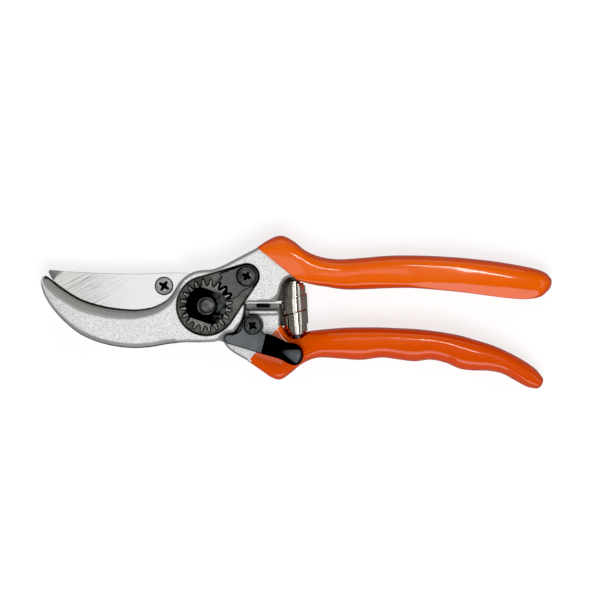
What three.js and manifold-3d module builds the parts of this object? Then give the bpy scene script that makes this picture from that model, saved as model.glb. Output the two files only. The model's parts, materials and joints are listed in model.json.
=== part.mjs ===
// Bypass pruning shears, closed and locked, lying on their back.
// Millimetres. The shears are drawn about the pivot axis at (0, 0): +X runs to the handle ends,
// +Y is the side of the hook handle, and +Z points up from the surface the shears lie on.
// At the end the group is shifted so that its origin is the middle of its footprint.

import * as THREE from "three";
import { mergeVertices } from "three/addons/utils/BufferGeometryUtils.js";
import Module from "manifold-3d";

const wasm = await Module();
wasm.setup();

// ---------------------------------------------------------------- driving dimensions

const GAP = 0.3; // clearance between pieces that touch
const LAYER_GAP = 0.2; // clearance between the flat layers of the head

// Layers of the head, from the surface upwards
const FORGING_BACK = 1.4; // back face of both forgings
const CARRIER_FRONT = 6.6; // blade carrier of the lower handle
const BLADE_THICKNESS = 3.2;
const HOOK_THICKNESS = 7.2;
const BLADE_BACK = CARRIER_FRONT + LAYER_GAP;
const BLADE_FRONT = BLADE_BACK + BLADE_THICKNESS;
const HOOK_BACK = BLADE_FRONT + LAYER_GAP;
const HOOK_FRONT = HOOK_BACK + HOOK_THICKNESS;
const COAT = 0.8; // how far the dipped grips stand proud of the forgings
const GRIP_BACK = 0;

// Pivot
const CARRIER_RADIUS = 14.8;
const TANG_RADIUS = 13.4;
const HOOK_ARC_RADIUS = 16.0; // right-hand edge of the hook forging, round the pivot
const BODY_ARC_RADIUS = 16.5; // the lower handle's edge that faces it
const BOLT_RADIUS = 5.0;
const BUSH_RADIUS = 6.4;
const BOLT_HEAD_RADIUS = 8.4;
const BOLT_HEAD_HEIGHT = 2.4;
const THREAD_RADIUS = 3.9;
const NUT_RADIUS = 8.45;
const NUT_FLATS = 13.5; // across the two flats of the nut
const NUT_TURN = -19; // degrees, direction of the flats
const NUT_HEIGHT = 5.6;

// Toothed disc on the nut, and the toothed segment that locks it
const POCKET_RADIUS = 12.6;
const POCKET_DEPTH = 2.4;
const POCKET_FLOOR = HOOK_FRONT - POCKET_DEPTH;
const DISC_THICKNESS = 2.0;
const TEETH = 20;
const TOOTH_TIP_RADIUS = 11.3;
const TOOTH_ROOT_RADIUS = 9.1;
const TOOTH_PHASE = 7; // degrees, position of one tooth's middle
const SEGMENT_SCREW = new THREE.Vector2(17.0, 12.5);
const SEGMENT_END_RADIUS = 5.0;
const POCKET_END_RADIUS = 5.4;
const SEGMENT_OUTER_RADIUS = 13.6;

// Lower handle's latch land, ridge and ledge
const RIDGE_FRONT = 13.4;
const LATCH_LAND = 12.4;
const LEDGE_FRONT = 9.8;
const RIDGE_TOP_Y = -1.7;
const RIDGE_BOTTOM_Y = -3.6;
const STOP_GAP = 0.5; // between the handles' stop faces
const STOP_Y = 1.5;

// Latch
const LATCH_SCREW = new THREE.Vector2(19.5, -8.3);
const LATCH_THICKNESS = 2.2;
const LATCH_WASHER = 0.5;
const LATCH_BACK = LATCH_LAND + LATCH_WASHER + 2 * 0.1;
const LATCH_LIFT = 3.0; // the lever runs this much higher than the nose, over the grip
const LATCH_END_RADIUS = 4.6;
const SLEEVE_WALL = 1.0;

// Screws with cross recesses
const SCREW_SHANK_RADIUS = 2.0;
const PAN_RADIUS = 4.45;
const PAN_HEIGHT = 2.3;
const LATCH_PAN_RADIUS = 3.9;
const BLADE_SCREW = new THREE.Vector2(-18.0, 8.4);
const BLADE_SCREW_RADIUS = 3.75;
const RECESS_ARM = 1.1; // width of an arm of the cross
const RECESS_DEPTH = 1.5;

// Spring
const SPRING_TOP = new THREE.Vector3(37.4, 10.6, 9.1);
const SPRING_BOTTOM = new THREE.Vector3(38.6, -13.0, 9.1);
const SPRING_BOW = 0.7; // the squeezed spring bulges this far towards the pivot
const SPRING_RADIUS = 5.7; // outside of the widest coil
const SPRING_END_RADIUS = 3.4;
const STRIP_HEIGHT = 6.0;
const STRIP_THICKNESS = 0.6;
const SPRING_TURNS = 6.6;
const SEAT_RADIUS = 6.4;
const PEG_RADIUS = 2.1;

// ---------------------------------------------------------------- materials

function paint(color, roughness, metalness) {
  return new THREE.MeshStandardMaterial({ color, roughness, metalness });
}

const silverCoat = paint(0xb4b7b4, 0.5, 0.3);
const orangeVinyl = paint(0xe85400, 0.25, 0);
const polishedSteel = paint(0xd8dadb, 0.2, 1);
const satinSteel = paint(0x8b8d8f, 0.4, 0.9);
const blackSteel = paint(0x141516, 0.35, 0.6);
const zincSteel = paint(0x77797b, 0.45, 0.8);
const nickel = paint(0xcfc8bb, 0.15, 1);
const blackVinyl = paint(0x0c0d0e, 0.3, 0);
const blackRubber = paint(0x1a1a1a, 0.7, 0);
const bronze = paint(0xa8763c, 0.4, 0.9);

// ---------------------------------------------------------------- solids

// A closed three.js geometry as a manifold-3d solid.
function solidOf(geometry) {
  const bare = geometry.clone();
  bare.deleteAttribute("normal");
  bare.deleteAttribute("uv");
  const merged = mergeVertices(bare, 1e-4);
  return new wasm.Manifold(
    new wasm.Mesh({
      numProp: 3,
      vertProperties: merged.attributes.position.array,
      triVerts: new Uint32Array(merged.index.array),
    }),
  );
}

function geometryOf(solid) {
  const mesh = solid.getMesh();
  const geometry = new THREE.BufferGeometry();
  geometry.setAttribute("position", new THREE.BufferAttribute(mesh.vertProperties, 3));
  geometry.setIndex(new THREE.BufferAttribute(mesh.triVerts, 1));
  geometry.computeVertexNormals();
  return geometry;
}

const shears = new THREE.Group();

function addPart(name, solid, material) {
  const mesh = new THREE.Mesh(geometryOf(solid), material);
  mesh.name = name;
  shears.add(mesh);
}

// An outline in XY, extruded from z0 to z1.
function prism(points, z0, z1) {
  const options = { depth: z1 - z0, bevelEnabled: false, steps: 1 };
  const geometry = new THREE.ExtrudeGeometry(new THREE.Shape(points), options);
  return solidOf(geometry.translate(0, 0, z0));
}

function cylinder(radius, z0, z1, centre = { x: 0, y: 0 }, sides = 48, topRadius = radius) {
  const geometry = new THREE.CylinderGeometry(topRadius, radius, z1 - z0, sides);
  geometry.rotateX(Math.PI / 2);
  return solidOf(geometry.translate(centre.x, centre.y, (z0 + z1) / 2));
}

function box(x0, x1, y0, y1, z0, z1) {
  const geometry = new THREE.BoxGeometry(x1 - x0, y1 - y0, z1 - z0);
  return solidOf(geometry.translate((x0 + x1) / 2, (y0 + y1) / 2, (z0 + z1) / 2));
}

// Joins rings of points, all with the same count, into one closed body. Rings are convex.
function loft(rings) {
  const count = rings[0].length;
  const positions = rings.flat().flatMap((p) => [p.x, p.y, p.z]);
  const index = [];
  for (let ring = 0; ring < rings.length - 1; ring++) {
    for (let i = 0; i < count; i++) {
      const next = (i + 1) % count;
      const a = ring * count + i;
      const b = ring * count + next;
      index.push(a, b, a + count, b, b + count, a + count);
    }
  }
  const last = (rings.length - 1) * count;
  for (let i = 1; i < count - 1; i++) {
    index.push(0, i + 1, i);
    index.push(last, last + i, last + i + 1);
  }
  const geometry = new THREE.BufferGeometry();
  geometry.setAttribute("position", new THREE.Float32BufferAttribute(positions, 3));
  geometry.setIndex(index);
  const solid = solidOf(geometry);
  if (solid.volume() > 0) return solid;
  geometry.setIndex(index.reverse());
  return solidOf(geometry);
}

// ---------------------------------------------------------------- outlines

const radians = THREE.MathUtils.degToRad;

function polar(radius, degrees, centre = { x: 0, y: 0 }) {
  const a = radians(degrees);
  return new THREE.Vector2(centre.x + radius * Math.cos(a), centre.y + radius * Math.sin(a));
}

// Points on a smooth curve through the given knots, both ends included.
function smooth(knots, steps = 3) {
  const curve = new THREE.CatmullRomCurve3(
    knots.map(([x, y]) => new THREE.Vector3(x, y, 0)),
    false,
    "centripetal",
  );
  const points = curve.getPoints((knots.length - 1) * steps);
  return points.map((p) => new THREE.Vector2(p.x, p.y));
}

function straight(...corners) {
  return corners.map(([x, y]) => new THREE.Vector2(x, y));
}

function arc(radius, fromDegrees, toDegrees, steps, centre) {
  const points = [];
  for (let i = 0; i <= steps; i++) {
    points.push(polar(radius, THREE.MathUtils.lerp(fromDegrees, toDegrees, i / steps), centre));
  }
  return points;
}

// The convex outline round two circles: centre a with radius ra, and centre b with radius rb.
function teardrop(a, ra, b, rb, steps = 16) {
  const towards = THREE.MathUtils.radToDeg(Math.atan2(b.y - a.y, b.x - a.x));
  const spread = THREE.MathUtils.radToDeg(Math.acos((ra - rb) / a.distanceTo(b)));
  return [
    ...arc(ra, towards + spread, towards + 360 - spread, 2 * steps, a),
    ...arc(rb, towards - spread, towards + spread, steps, b),
  ];
}

const PIVOT = new THREE.Vector2(0, 0);

// Outer edge of the hook, from its tip to the latch notch
const hookOuterEdge = smooth([
  [-68.8, 12.5],
  [-69.6, 9.8],
  [-68.2, 4.6],
  [-64.6, -1.3],
  [-59.1, -7.3],
  [-53.2, -11.9],
  [-46.5, -15.0],
  [-38.8, -17.0],
  [-31.0, -17.8],
  [-23.5, -17.4],
  [-16.7, -16.2],
  [-9.4, -15.4],
  [-2.5, -15.4],
  [2.8, -15.2],
  [5.0, -14.8],
]);

// The shoulder that the latch's nose bears on, then the arc that faces the lower handle
const latchNotch = straight([8.0, -11.8], [8.8, -11.3], [11.3, -11.1]);
const hookArc = arc(HOOK_ARC_RADIUS, -43.5, 2, 12);

// Stop face, and the bay round the upper half of the spring
const upperStopAndBay = [
  ...straight([17.0, STOP_Y], [28.6, STOP_Y]),
  ...smooth([
    [29.6, 1.9],
    [30.7, 3.9],
    [31.3, 6.5],
    [31.9, 8.8],
    [33.0, 10.7],
    [34.7, 11.9],
    [36.6, 12.0],
    [38.35, 10.8],
  ]),
];

// Upper edge, from the grip's split line round the pivot boss to the hook's inner edge and tip
const upperEdge = [
  ...straight([21.25, 24.4], [14.0, 20.6]),
  ...smooth([
    [7.5, 17.2],
    [2.7, 15.4],
    [-2.2, 15.0],
    [-5.3, 14.3],
    [-8.5, 12.6],
    [-11.3, 9.8],
    [-13.1, 7.0],
    [-14.8, 4.4],
    [-17.6, 1.9],
    [-22.4, -0.4],
    [-28.0, -1.4],
    [-33.7, -1.4],
    [-42.2, -0.3],
    [-50.7, 2.0],
    [-56.3, 4.7],
    [-62.0, 8.5],
    [-66.0, 11.6],
    [-67.6, 12.7],
  ]),
];

const hookOutline = [
  ...hookOuterEdge,
  ...latchNotch,
  ...hookArc,
  ...upperStopAndBay,
  ...upperEdge,
];

// Lower handle: the part of its head that stands in front of the blade layer
const lowerBottomEdge = smooth([
  [7.2, -15.4],
  [9.6, -18.4],
  [13.6, -21.1],
  [17.4, -23.2],
]);
const LOWER_SPLIT_TOP = [31.15, -8.05];
const lowerBodyOutline = [
  ...lowerBottomEdge,
  ...straight(LOWER_SPLIT_TOP, [31.1, -6.0], [30.9, -2.5], [30.9, STOP_Y - STOP_GAP]),
  ...straight([17.2, STOP_Y - STOP_GAP]),
  ...arc(BODY_ARC_RADIUS, 3, -64, 16),
];

const bladeOutline = [
  // cutting edge, from the tip to the tang
  ...smooth([
    [-67.0, 14.5],
    [-65.6, 11.9],
    [-62.4, 7.9],
    [-57.0, 3.0],
    [-50.0, -1.0],
    [-42.0, -3.7],
    [-34.0, -4.7],
    [-26.0, -4.2],
    [-20.0, -3.6],
    [-13.0, -4.6],
  ]),
  ...arc(TANG_RADIUS, 205, 448, 36),
  // spine
  ...smooth([
    [-5.0, 13.7],
    [-15.5, 14.0],
    [-28.2, 13.5],
    [-41.1, 13.7],
    [-55.4, 14.3],
    [-62.0, 14.8],
    [-66.2, 15.2],
  ]),
];

// The nose, which locks against the hook's shoulder, and the plate round the latch screw
const latchPlateOutline = [
  // nose and lower edge
  ...smooth([
    [7.9, -12.9],
    [7.7, -14.2],
    [8.7, -15.9],
  ]),
  ...straight([14.0, -17.4], [22.6, -20.0]),
  // round end about the screw, and the upper edge back to the nose
  ...straight([24.6, -11.2]),
  ...arc(LATCH_END_RADIUS, -10, 175, 14, LATCH_SCREW),
  ...smooth([
    [14.7, -9.4],
    [13.3, -11.1],
    [11.4, -12.0],
    [9.4, -12.1],
    [8.4, -12.4],
  ]),
];

const leverOutline = smooth([
  [23.6, -12.0],
  [28.0, -14.0],
  [33.0, -16.5],
  [37.6, -18.0],
  [39.2, -20.6],
  [37.4, -23.0],
  [33.0, -21.6],
  [28.0, -20.4],
  [21.8, -18.8],
], 2);

const sleeveOutline = smooth([
  [25.1, -11.4],
  [29.1, -12.9],
  [32.2, -14.5],
  [35.0, -15.5],
  [37.6, -15.9],
  [40.0, -17.6],
  [41.0, -20.6],
  [40.0, -23.6],
  [37.4, -25.1],
  [34.6, -24.3],
  [31.4, -22.6],
  [28.0, -21.5],
  [23.0, -20.2],
], 2);

// ---------------------------------------------------------------- grips and their cores

// A grip is lofted through ribs. Each rib is a line across the grip in XY, from its upper to its
// lower edge, with the grip's front face there and the power of its superellipse section.
const upperRibs = [
  // upper edge, lower edge, front, power
  [21.3, 24.5, 38.6, 10.6, 18.2, 9],
  [27.0, 28.0, 41.0, 10.0, 18.2, 7],
  [31.6, 29.6, 44.0, 9.2, 18.2, 5],
  [36.6, 27.4, 47.0, 8.6, 18.1, 4],
  [42.0, 23.2, 50.5, 8.1, 18.0, 3.4],
  [48.4, 20.6, 54.5, 7.4, 17.9, 3],
  [56.0, 19.6, 60.0, 6.9, 17.8, 2.7],
  [66.0, 20.2, 68.0, 7.1, 17.8, 2.5],
  [77.0, 21.1, 77.0, 7.5, 17.8, 2.5],
  [88.0, 21.2, 87.0, 7.6, 17.8, 2.5],
  [99.0, 20.8, 97.5, 6.8, 17.6, 2.5],
  [110.0, 20.0, 108.0, 5.8, 17.4, 2.5],
  [121.0, 18.8, 118.0, 4.5, 17.0, 2.5],
  [131.0, 17.2, 127.5, 3.3, 16.4, 2.5],
  [138.8, 15.6, 135.5, 2.9, 15.6, 2.5],
  [143.3, 13.9, 141.2, 3.9, 14.4, 2.4],
  [145.3, 11.9, 144.4, 6.4, 12.6, 2.2],
];

const lowerRibs = [
  [31.3, -7.9, 17.5, -23.3, 12.7, 9],
  [33.4, -11.6, 22.6, -26.9, 12.7, 8],
  [36.4, -13.2, 27.6, -30.3, 12.8, 6],
  [39.4, -12.4, 31.4, -31.1, 13.4, 5],
  [42.6, -11.0, 35.6, -28.4, 14.2, 4],
  [47.0, -10.3, 40.5, -24.4, 15.2, 3.4],
  [52.1, -9.8, 47.0, -21.9, 16.6, 3],
  [59.0, -9.3, 56.0, -22.2, 17.7, 2.6],
  [66.0, -9.2, 65.0, -22.8, 17.8, 2.5],
  [73.0, -9.2, 74.0, -21.8, 17.8, 2.5],
  [80.0, -9.5, 81.0, -22.6, 17.8, 2.5],
  [87.0, -9.8, 88.0, -23.4, 17.8, 2.5],
  [93.5, -10.4, 94.6, -22.7, 17.6, 2.5],
  [100.0, -11.3, 101.0, -24.0, 17.4, 2.5],
  [107.0, -12.6, 107.0, -26.5, 17.2, 2.5],
  [114.0, -14.6, 113.0, -27.3, 16.8, 2.5],
  [121.0, -16.8, 119.0, -27.4, 16.2, 2.5],
  [128.0, -19.9, 125.0, -28.6, 15.6, 2.5],
  [134.0, -23.2, 130.5, -31.5, 14.8, 2.4],
  [139.1, -26.8, 135.6, -34.2, 13.8, 2.4],
  [142.2, -30.6, 139.6, -35.0, 12.6, 2.2],
];

const GRIP_SIDES = 16;

// One section ring at parameter t (0 to 1) along the ribs, drawn in by inset on every side.
function ribRing(ribs, t, inset) {
  const spline = (pick) => new THREE.CatmullRomCurve3(ribs.map(pick), false, "catmullrom", 0.5);
  const top = spline(([x, y]) => new THREE.Vector3(x, y, 0)).getPoint(t);
  const bottom = spline(([, , x, y]) => new THREE.Vector3(x, y, 0)).getPoint(t);
  const { x: front, y: power } = spline(([, , , , f, p]) => new THREE.Vector3(f, p, 0)).getPoint(t);
  // the back lies on the surface, and rises towards the tip as the front falls
  const back = GRIP_BACK + Math.max(0, (17.8 - front) * (t > 0.5 ? 0.45 : 0));
  const middle = top.clone().add(bottom).multiplyScalar(0.5);
  const across = top.clone().sub(bottom);
  const halfWidth = across.length() / 2 - inset;
  const halfDepth = (front - back) / 2 - inset;
  across.normalize();
  const ring = [];
  for (let i = 0; i < GRIP_SIDES; i++) {
    const a = ((i + 0.5) / GRIP_SIDES) * 2 * Math.PI;
    const reach = (value) => Math.sign(value) * Math.abs(value) ** (2 / power);
    const point = middle.clone().addScaledVector(across, halfWidth * reach(Math.cos(a)));
    point.z = (front + back) / 2 + halfDepth * reach(Math.sin(a));
    ring.push(point);
  }
  return ring;
}

function ribLoft(ribs, from, to, steps, inset) {
  const rings = [];
  for (let i = 0; i <= steps; i++) {
    rings.push(ribRing(ribs, THREE.MathUtils.lerp(from, to, i / steps), inset));
  }
  return loft(rings);
}

// The aluminium tang inside a grip, joined to the forging by a stub that reaches back into it.
const CORE_INSET = 3.2;
const CORE_END = 0.9;
function core(ribs, inset, stub) {
  const first = ribRing(ribs, 0, inset);
  const outwards = new THREE.Vector3();
  const near = ribRing(ribs, 0.02, inset);
  for (let i = 0; i < GRIP_SIDES; i++) outwards.add(near[i]).sub(first[i]);
  outwards.setZ(0).setLength(stub);
  const rings = [first.map((p) => p.clone().sub(outwards))];
  const steps = 18;
  for (let i = 0; i <= steps; i++) rings.push(ribRing(ribs, (CORE_END * i) / steps, inset));
  return loft(rings);
}

// ---------------------------------------------------------------- spring frame

const springAxis = SPRING_TOP.clone().sub(SPRING_BOTTOM);
const springLength = springAxis.length();
springAxis.normalize();
const springSide = new THREE.Vector3(0, 0, 1).cross(springAxis).normalize();

// A cylinder about the spring's axis; heights are measured from the lower seat.
function springCylinder(radius, from, to, sides = 32, topRadius = radius) {
  const geometry = new THREE.CylinderGeometry(topRadius, radius, to - from, sides);
  geometry.translate(0, (from + to) / 2, 0);
  const turn = new THREE.Quaternion().setFromUnitVectors(new THREE.Vector3(0, 1, 0), springAxis);
  geometry.applyQuaternion(turn);
  return solidOf(geometry.translate(SPRING_BOTTOM.x, SPRING_BOTTOM.y, SPRING_BOTTOM.z));
}

const upperSeatPocket = springCylinder(SEAT_RADIUS, springLength - 6, springLength + 0.2);
const lowerSeatPocket = springCylinder(SEAT_RADIUS, -0.2, 6);
const PEG_DEPTH = 5;
const PEG_REACH = 4;
const pegHole = (from, to) => springCylinder(PEG_RADIUS + 0.15, from, to, 24);
const upperPegHole = pegHole(springLength - PEG_REACH, springLength + PEG_DEPTH);
const lowerPegHole = pegHole(-PEG_DEPTH, PEG_REACH);

// ---------------------------------------------------------------- forgings

// Upper handle: hook, pivot boss, pocket, back block and tang, one forging
function upperHandle() {
  const plate = prism(hookOutline, HOOK_BACK, HOOK_FRONT);
  const backBlockOutline = [
    ...straight([17.0, STOP_Y]),
    ...upperStopAndBay.slice(1),
    ...straight([21.25, 24.4], [8.0, 17.4]),
  ];
  const backBlock = prism(backBlockOutline, FORGING_BACK, HOOK_BACK + 0.1).subtract(
    cylinder(BODY_ARC_RADIUS, 0, HOOK_BACK, PIVOT, 72),
  );
  const pocket = teardrop(PIVOT, POCKET_RADIUS, SEGMENT_SCREW, POCKET_END_RADIUS);
  return plate
    .add(backBlock)
    .add(core(upperRibs, CORE_INSET, 4))
    .subtract(prism(pocket, POCKET_FLOOR, HOOK_FRONT + 1))
    .subtract(cylinder(BOLT_RADIUS + 0.15, 0, HOOK_FRONT + 1))
    .subtract(cylinder(SCREW_SHANK_RADIUS + 0.15, 8, HOOK_FRONT + 1, SEGMENT_SCREW, 24))
    .subtract(hookBevel())
    .subtract(upperSeatPocket)
    .subtract(upperPegHole);
}

// The sloping band along the hook's inner edge: 3.6 mm wide, it takes the front face down to a
// thin lip over the blade. It is one wedge-shaped ring swept along the edge.
function hookBevel() {
  const edge = smooth([
    [-11.0, 11.2],
    [-13.1, 7.0],
    [-14.8, 4.4],
    [-17.6, 1.9],
    [-22.4, -0.4],
    [-28.0, -1.4],
    [-33.7, -1.4],
    [-42.2, -0.3],
    [-50.7, 2.0],
    [-56.3, 4.7],
    [-62.0, 8.5],
    [-66.6, 12.1],
  ], 2);
  const lip = HOOK_BACK + 2.2;
  const rings = edge.map((p, i) => {
    const before = edge[Math.max(i - 1, 0)];
    const after = edge[Math.min(i + 1, edge.length - 1)];
    const along = after.clone().sub(before).normalize();
    const inwards = new THREE.Vector2(-along.y, along.x); // into the hook's metal
    const at = (distance, z) =>
      new THREE.Vector3(p.x + inwards.x * distance, p.y + inwards.y * distance, z);
    const share = i / (edge.length - 1);
    const width = 4.2 * Math.min(1, 0.15 + 6 * share, 0.35 + 3 * (1 - share));
    return [at(-2, lip), at(0, lip), at(width, HOOK_FRONT + 0.1), at(-2, HOOK_FRONT + 0.1)];
  });
  return loft(rings);
}

// Lower handle: blade carrier behind the blade, body with the latch land, and tang
const carrierOutline = [
  ...arc(CARRIER_RADIUS, 4, 112, 14),
  ...arc(5.4, 92, 225, 10, BLADE_SCREW),
  ...arc(CARRIER_RADIUS, 196, 284, 12),
  ...lowerBottomEdge,
  ...straight(LOWER_SPLIT_TOP, [31.1, -6.0], [30.9, -2.5], [30.9, STOP_Y - STOP_GAP]),
  ...straight([15.4, STOP_Y - STOP_GAP]),
];

const BUFFER_MIDDLE = new THREE.Vector2(24.0, 0.35);
const bufferOutline = (grow) =>
  teardrop(
    new THREE.Vector2(BUFFER_MIDDLE.x - 2.2, BUFFER_MIDDLE.y),
    0.95 + grow,
    new THREE.Vector2(BUFFER_MIDDLE.x + 2.2, BUFFER_MIDDLE.y),
    0.94 + grow,
    6,
  );

function lowerHandle() {
  const carrier = prism(carrierOutline, FORGING_BACK, CARRIER_FRONT);
  const body = prism(lowerBodyOutline, FORGING_BACK, RIDGE_FRONT);
  return carrier
    .add(body)
    .add(core(lowerRibs, CORE_INSET, 4))
    .subtract(box(0, 40, RIDGE_TOP_Y, 20, LEDGE_FRONT, 20))
    .subtract(box(0, 32, -40, RIDGE_BOTTOM_Y, LATCH_LAND, 20))
    .subtract(prism(bufferOutline(0.1), 4, 12))
    .subtract(cylinder(BUSH_RADIUS + 0.15, 0, CARRIER_FRONT + 0.05))
    .subtract(cylinder(BOLT_HEAD_RADIUS + GAP, 0, BOLT_HEAD_HEIGHT + GAP))
    .subtract(cylinder(SCREW_SHANK_RADIUS + 0.15, 0, 8, BLADE_SCREW, 24))
    .subtract(prism(hexagon(BLADE_SCREW, 3.5 + 0.15), 0, FORGING_BACK + 2.2))
    .subtract(cylinder(SCREW_SHANK_RADIUS + 0.15, 4, 20, LATCH_SCREW, 24))
    .subtract(lowerSeatPocket)
    .subtract(lowerPegHole);
}

function hexagon(centre, flatRadius) {
  return arc(flatRadius / Math.cos(Math.PI / 6), 0, 300, 5, centre);
}

addPart("upper_handle", upperHandle(), silverCoat);
addPart("lower_handle", lowerHandle(), silverCoat);

// ---------------------------------------------------------------- grips

function grip(ribs) {
  const steps = 34;
  const start = 0.006; // leaves the gap to the forging at the split line
  return ribLoft(ribs, start, 1, steps, 0).subtract(core(ribs, CORE_INSET - GAP, 2));
}

addPart("upper_grip", grip(upperRibs).subtract(upperSeatPocket).subtract(upperPegHole), orangeVinyl);
addPart("lower_grip", grip(lowerRibs).subtract(lowerSeatPocket).subtract(lowerPegHole), orangeVinyl);

// ---------------------------------------------------------------- blade

function blade() {
  const edge = [
    [-68.2, 17.0],
    [-65.4, 12.4],
    [-62.4, 7.9],
    [-57.0, 3.0],
    [-50.0, -1.0],
    [-42.0, -3.7],
    [-34.0, -4.7],
    [-26.0, -4.4],
    [-20.5, -4.6],
  ];
  // ground bevel on the back face: from nothing at its shoulder to a thin edge
  const points = smooth(edge, 2);
  const rings = points.map((p, i) => {
    const before = points[Math.max(i - 1, 0)];
    const after = points[Math.min(i + 1, points.length - 1)];
    const along = after.clone().sub(before).normalize();
    const inwards = new THREE.Vector2(-along.y, along.x);
    const at = (distance, z) =>
      new THREE.Vector3(p.x + inwards.x * distance, p.y + inwards.y * distance, z);
    const share = i / (points.length - 1);
    const width = 8.5 * Math.min(1, 0.35 + 3 * share, 0.3 + 4 * (1 - share));
    const back = BLADE_BACK - 0.1;
    return [at(-2, back), at(width, back), at(0, BLADE_FRONT - 0.35), at(-2, BLADE_FRONT - 0.35)];
  });
  return prism(bladeOutline, BLADE_BACK, BLADE_FRONT)
    .subtract(loft(rings))
    .subtract(cylinder(BOLT_RADIUS + 0.15, 0, 20))
    .subtract(cylinder(SCREW_SHANK_RADIUS + 0.15, 0, 20, BLADE_SCREW, 24))
    .subtract(
      cylinder(SCREW_SHANK_RADIUS, BLADE_FRONT - 2, BLADE_FRONT, BLADE_SCREW, 36, BLADE_SCREW_RADIUS + 0.15),
    );
}

addPart("cutting_blade", blade(), polishedSteel);

// ---------------------------------------------------------------- screws

// A cross recess cut down from z.
function crossRecess(centre, z, turn) {
  const reach = 2.3;
  const bar = new THREE.BoxGeometry(2 * reach, RECESS_ARM, RECESS_DEPTH + 0.2);
  bar.translate(0, 0, 0.1 - RECESS_DEPTH / 2);
  const arm = (degrees) => {
    const turned = bar.clone().rotateZ(radians(degrees));
    return solidOf(turned.translate(centre.x, centre.y, z));
  };
  return arm(turn).add(arm(turn + 90));
}

// A domed pan head from z up, and a shank from foot to z.
function panScrew(centre, z, radius, foot, turn) {
  const profile = [
    [0, foot],
    [SCREW_SHANK_RADIUS, foot],
    [SCREW_SHANK_RADIUS, z],
    [radius, z],
    [radius, z + 1.1],
    [radius * 0.86, z + 1.8],
    [radius * 0.55, z + PAN_HEIGHT],
    [0, z + PAN_HEIGHT],
  ].map(([r, h]) => new THREE.Vector2(r, h));
  const geometry = new THREE.LatheGeometry(profile, 36).rotateX(Math.PI / 2);
  const head = solidOf(geometry.translate(centre.x, centre.y, 0));
  return head.subtract(crossRecess(centre, z + PAN_HEIGHT, turn));
}

const SEGMENT_BACK = POCKET_FLOOR + LAYER_GAP;
const SEGMENT_THICKNESS = 2.0;
addPart(
  "segment_screw",
  panScrew(SEGMENT_SCREW, SEGMENT_BACK + SEGMENT_THICKNESS + 0.1, PAN_RADIUS, 8.6, 15),
  blackSteel,
);
addPart(
  "latch_screw",
  panScrew(LATCH_SCREW, LATCH_BACK + LATCH_THICKNESS + 0.1, LATCH_PAN_RADIUS, 4.6, 45),
  blackSteel,
);

function bladeScrew() {
  const profile = [
    [0, FORGING_BACK + 0.3],
    [SCREW_SHANK_RADIUS, FORGING_BACK + 0.3],
    [SCREW_SHANK_RADIUS, BLADE_FRONT - 1.8],
    [BLADE_SCREW_RADIUS, BLADE_FRONT],
    [0, BLADE_FRONT],
  ].map(([r, h]) => new THREE.Vector2(r, h));
  const geometry = new THREE.LatheGeometry(profile, 36).rotateX(Math.PI / 2);
  const screw = solidOf(geometry.translate(BLADE_SCREW.x, BLADE_SCREW.y, 0));
  return screw.subtract(crossRecess(BLADE_SCREW, BLADE_FRONT, 50));
}

addPart("blade_screw", bladeScrew(), zincSteel);
addPart(
  "blade_screw_nut",
  prism(hexagon(BLADE_SCREW, 3.5), FORGING_BACK + 0.1, FORGING_BACK + 2.1).subtract(
    cylinder(SCREW_SHANK_RADIUS + 0.1, 0, 5, BLADE_SCREW, 24),
  ),
  zincSteel,
);

// ---------------------------------------------------------------- pivot

function pivotBolt() {
  const profile = [
    [0, 0],
    [BOLT_HEAD_RADIUS - 0.6, 0],
    [BOLT_HEAD_RADIUS, 0.6],
    [BOLT_HEAD_RADIUS, BOLT_HEAD_HEIGHT],
    [BOLT_RADIUS, BOLT_HEAD_HEIGHT],
    [BOLT_RADIUS, POCKET_FLOOR - GAP],
    [THREAD_RADIUS, POCKET_FLOOR],
    [THREAD_RADIUS, POCKET_FLOOR + NUT_HEIGHT - 1.2],
    [THREAD_RADIUS - 0.9, POCKET_FLOOR + NUT_HEIGHT - 0.6],
    [0, POCKET_FLOOR + NUT_HEIGHT - 0.6],
  ].map(([r, h]) => new THREE.Vector2(r, h));
  return solidOf(new THREE.LatheGeometry(profile, 48).rotateX(Math.PI / 2));
}

// An outline with two flats: a circle cut at half the distance across flats.
function doubleD(grow) {
  const radius = NUT_RADIUS + grow;
  const half = THREE.MathUtils.radToDeg(Math.asin((NUT_FLATS / 2 + grow) / radius));
  return [
    ...arc(radius, NUT_TURN - half, NUT_TURN + half, 14),
    ...arc(radius, NUT_TURN + 180 - half, NUT_TURN + 180 + half, 14),
  ];
}

const NUT_BACK = POCKET_FLOOR + LAYER_GAP;
function pivotNut() {
  const top = POCKET_FLOOR + NUT_HEIGHT;
  return prism(doubleD(0), NUT_BACK, top)
    .subtract(cylinder(THREAD_RADIUS + 0.1, 0, 30))
    .subtract(cylinder(THREAD_RADIUS, top - 0.5, top + 0.1, PIVOT, 48, THREAD_RADIUS + 0.7));
}

// Round-tipped teeth: the radius swings between root and tip as a flattened wave.
function toothedDisc() {
  const stepsPerTooth = 10;
  const points = [];
  for (let i = 0; i < TEETH * stepsPerTooth; i++) {
    const wave = Math.cos((i / stepsPerTooth) * 2 * Math.PI);
    const share = 0.5 + 0.5 * Math.sign(wave) * Math.abs(wave) ** 0.6;
    const radius = THREE.MathUtils.lerp(TOOTH_ROOT_RADIUS, TOOTH_TIP_RADIUS, share);
    points.push(polar(radius, TOOTH_PHASE + (i / stepsPerTooth) * (360 / TEETH)));
  }
  return prism(points, NUT_BACK, NUT_BACK + DISC_THICKNESS).subtract(
    prism(doubleD(0.1), 0, 30),
  );
}

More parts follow.
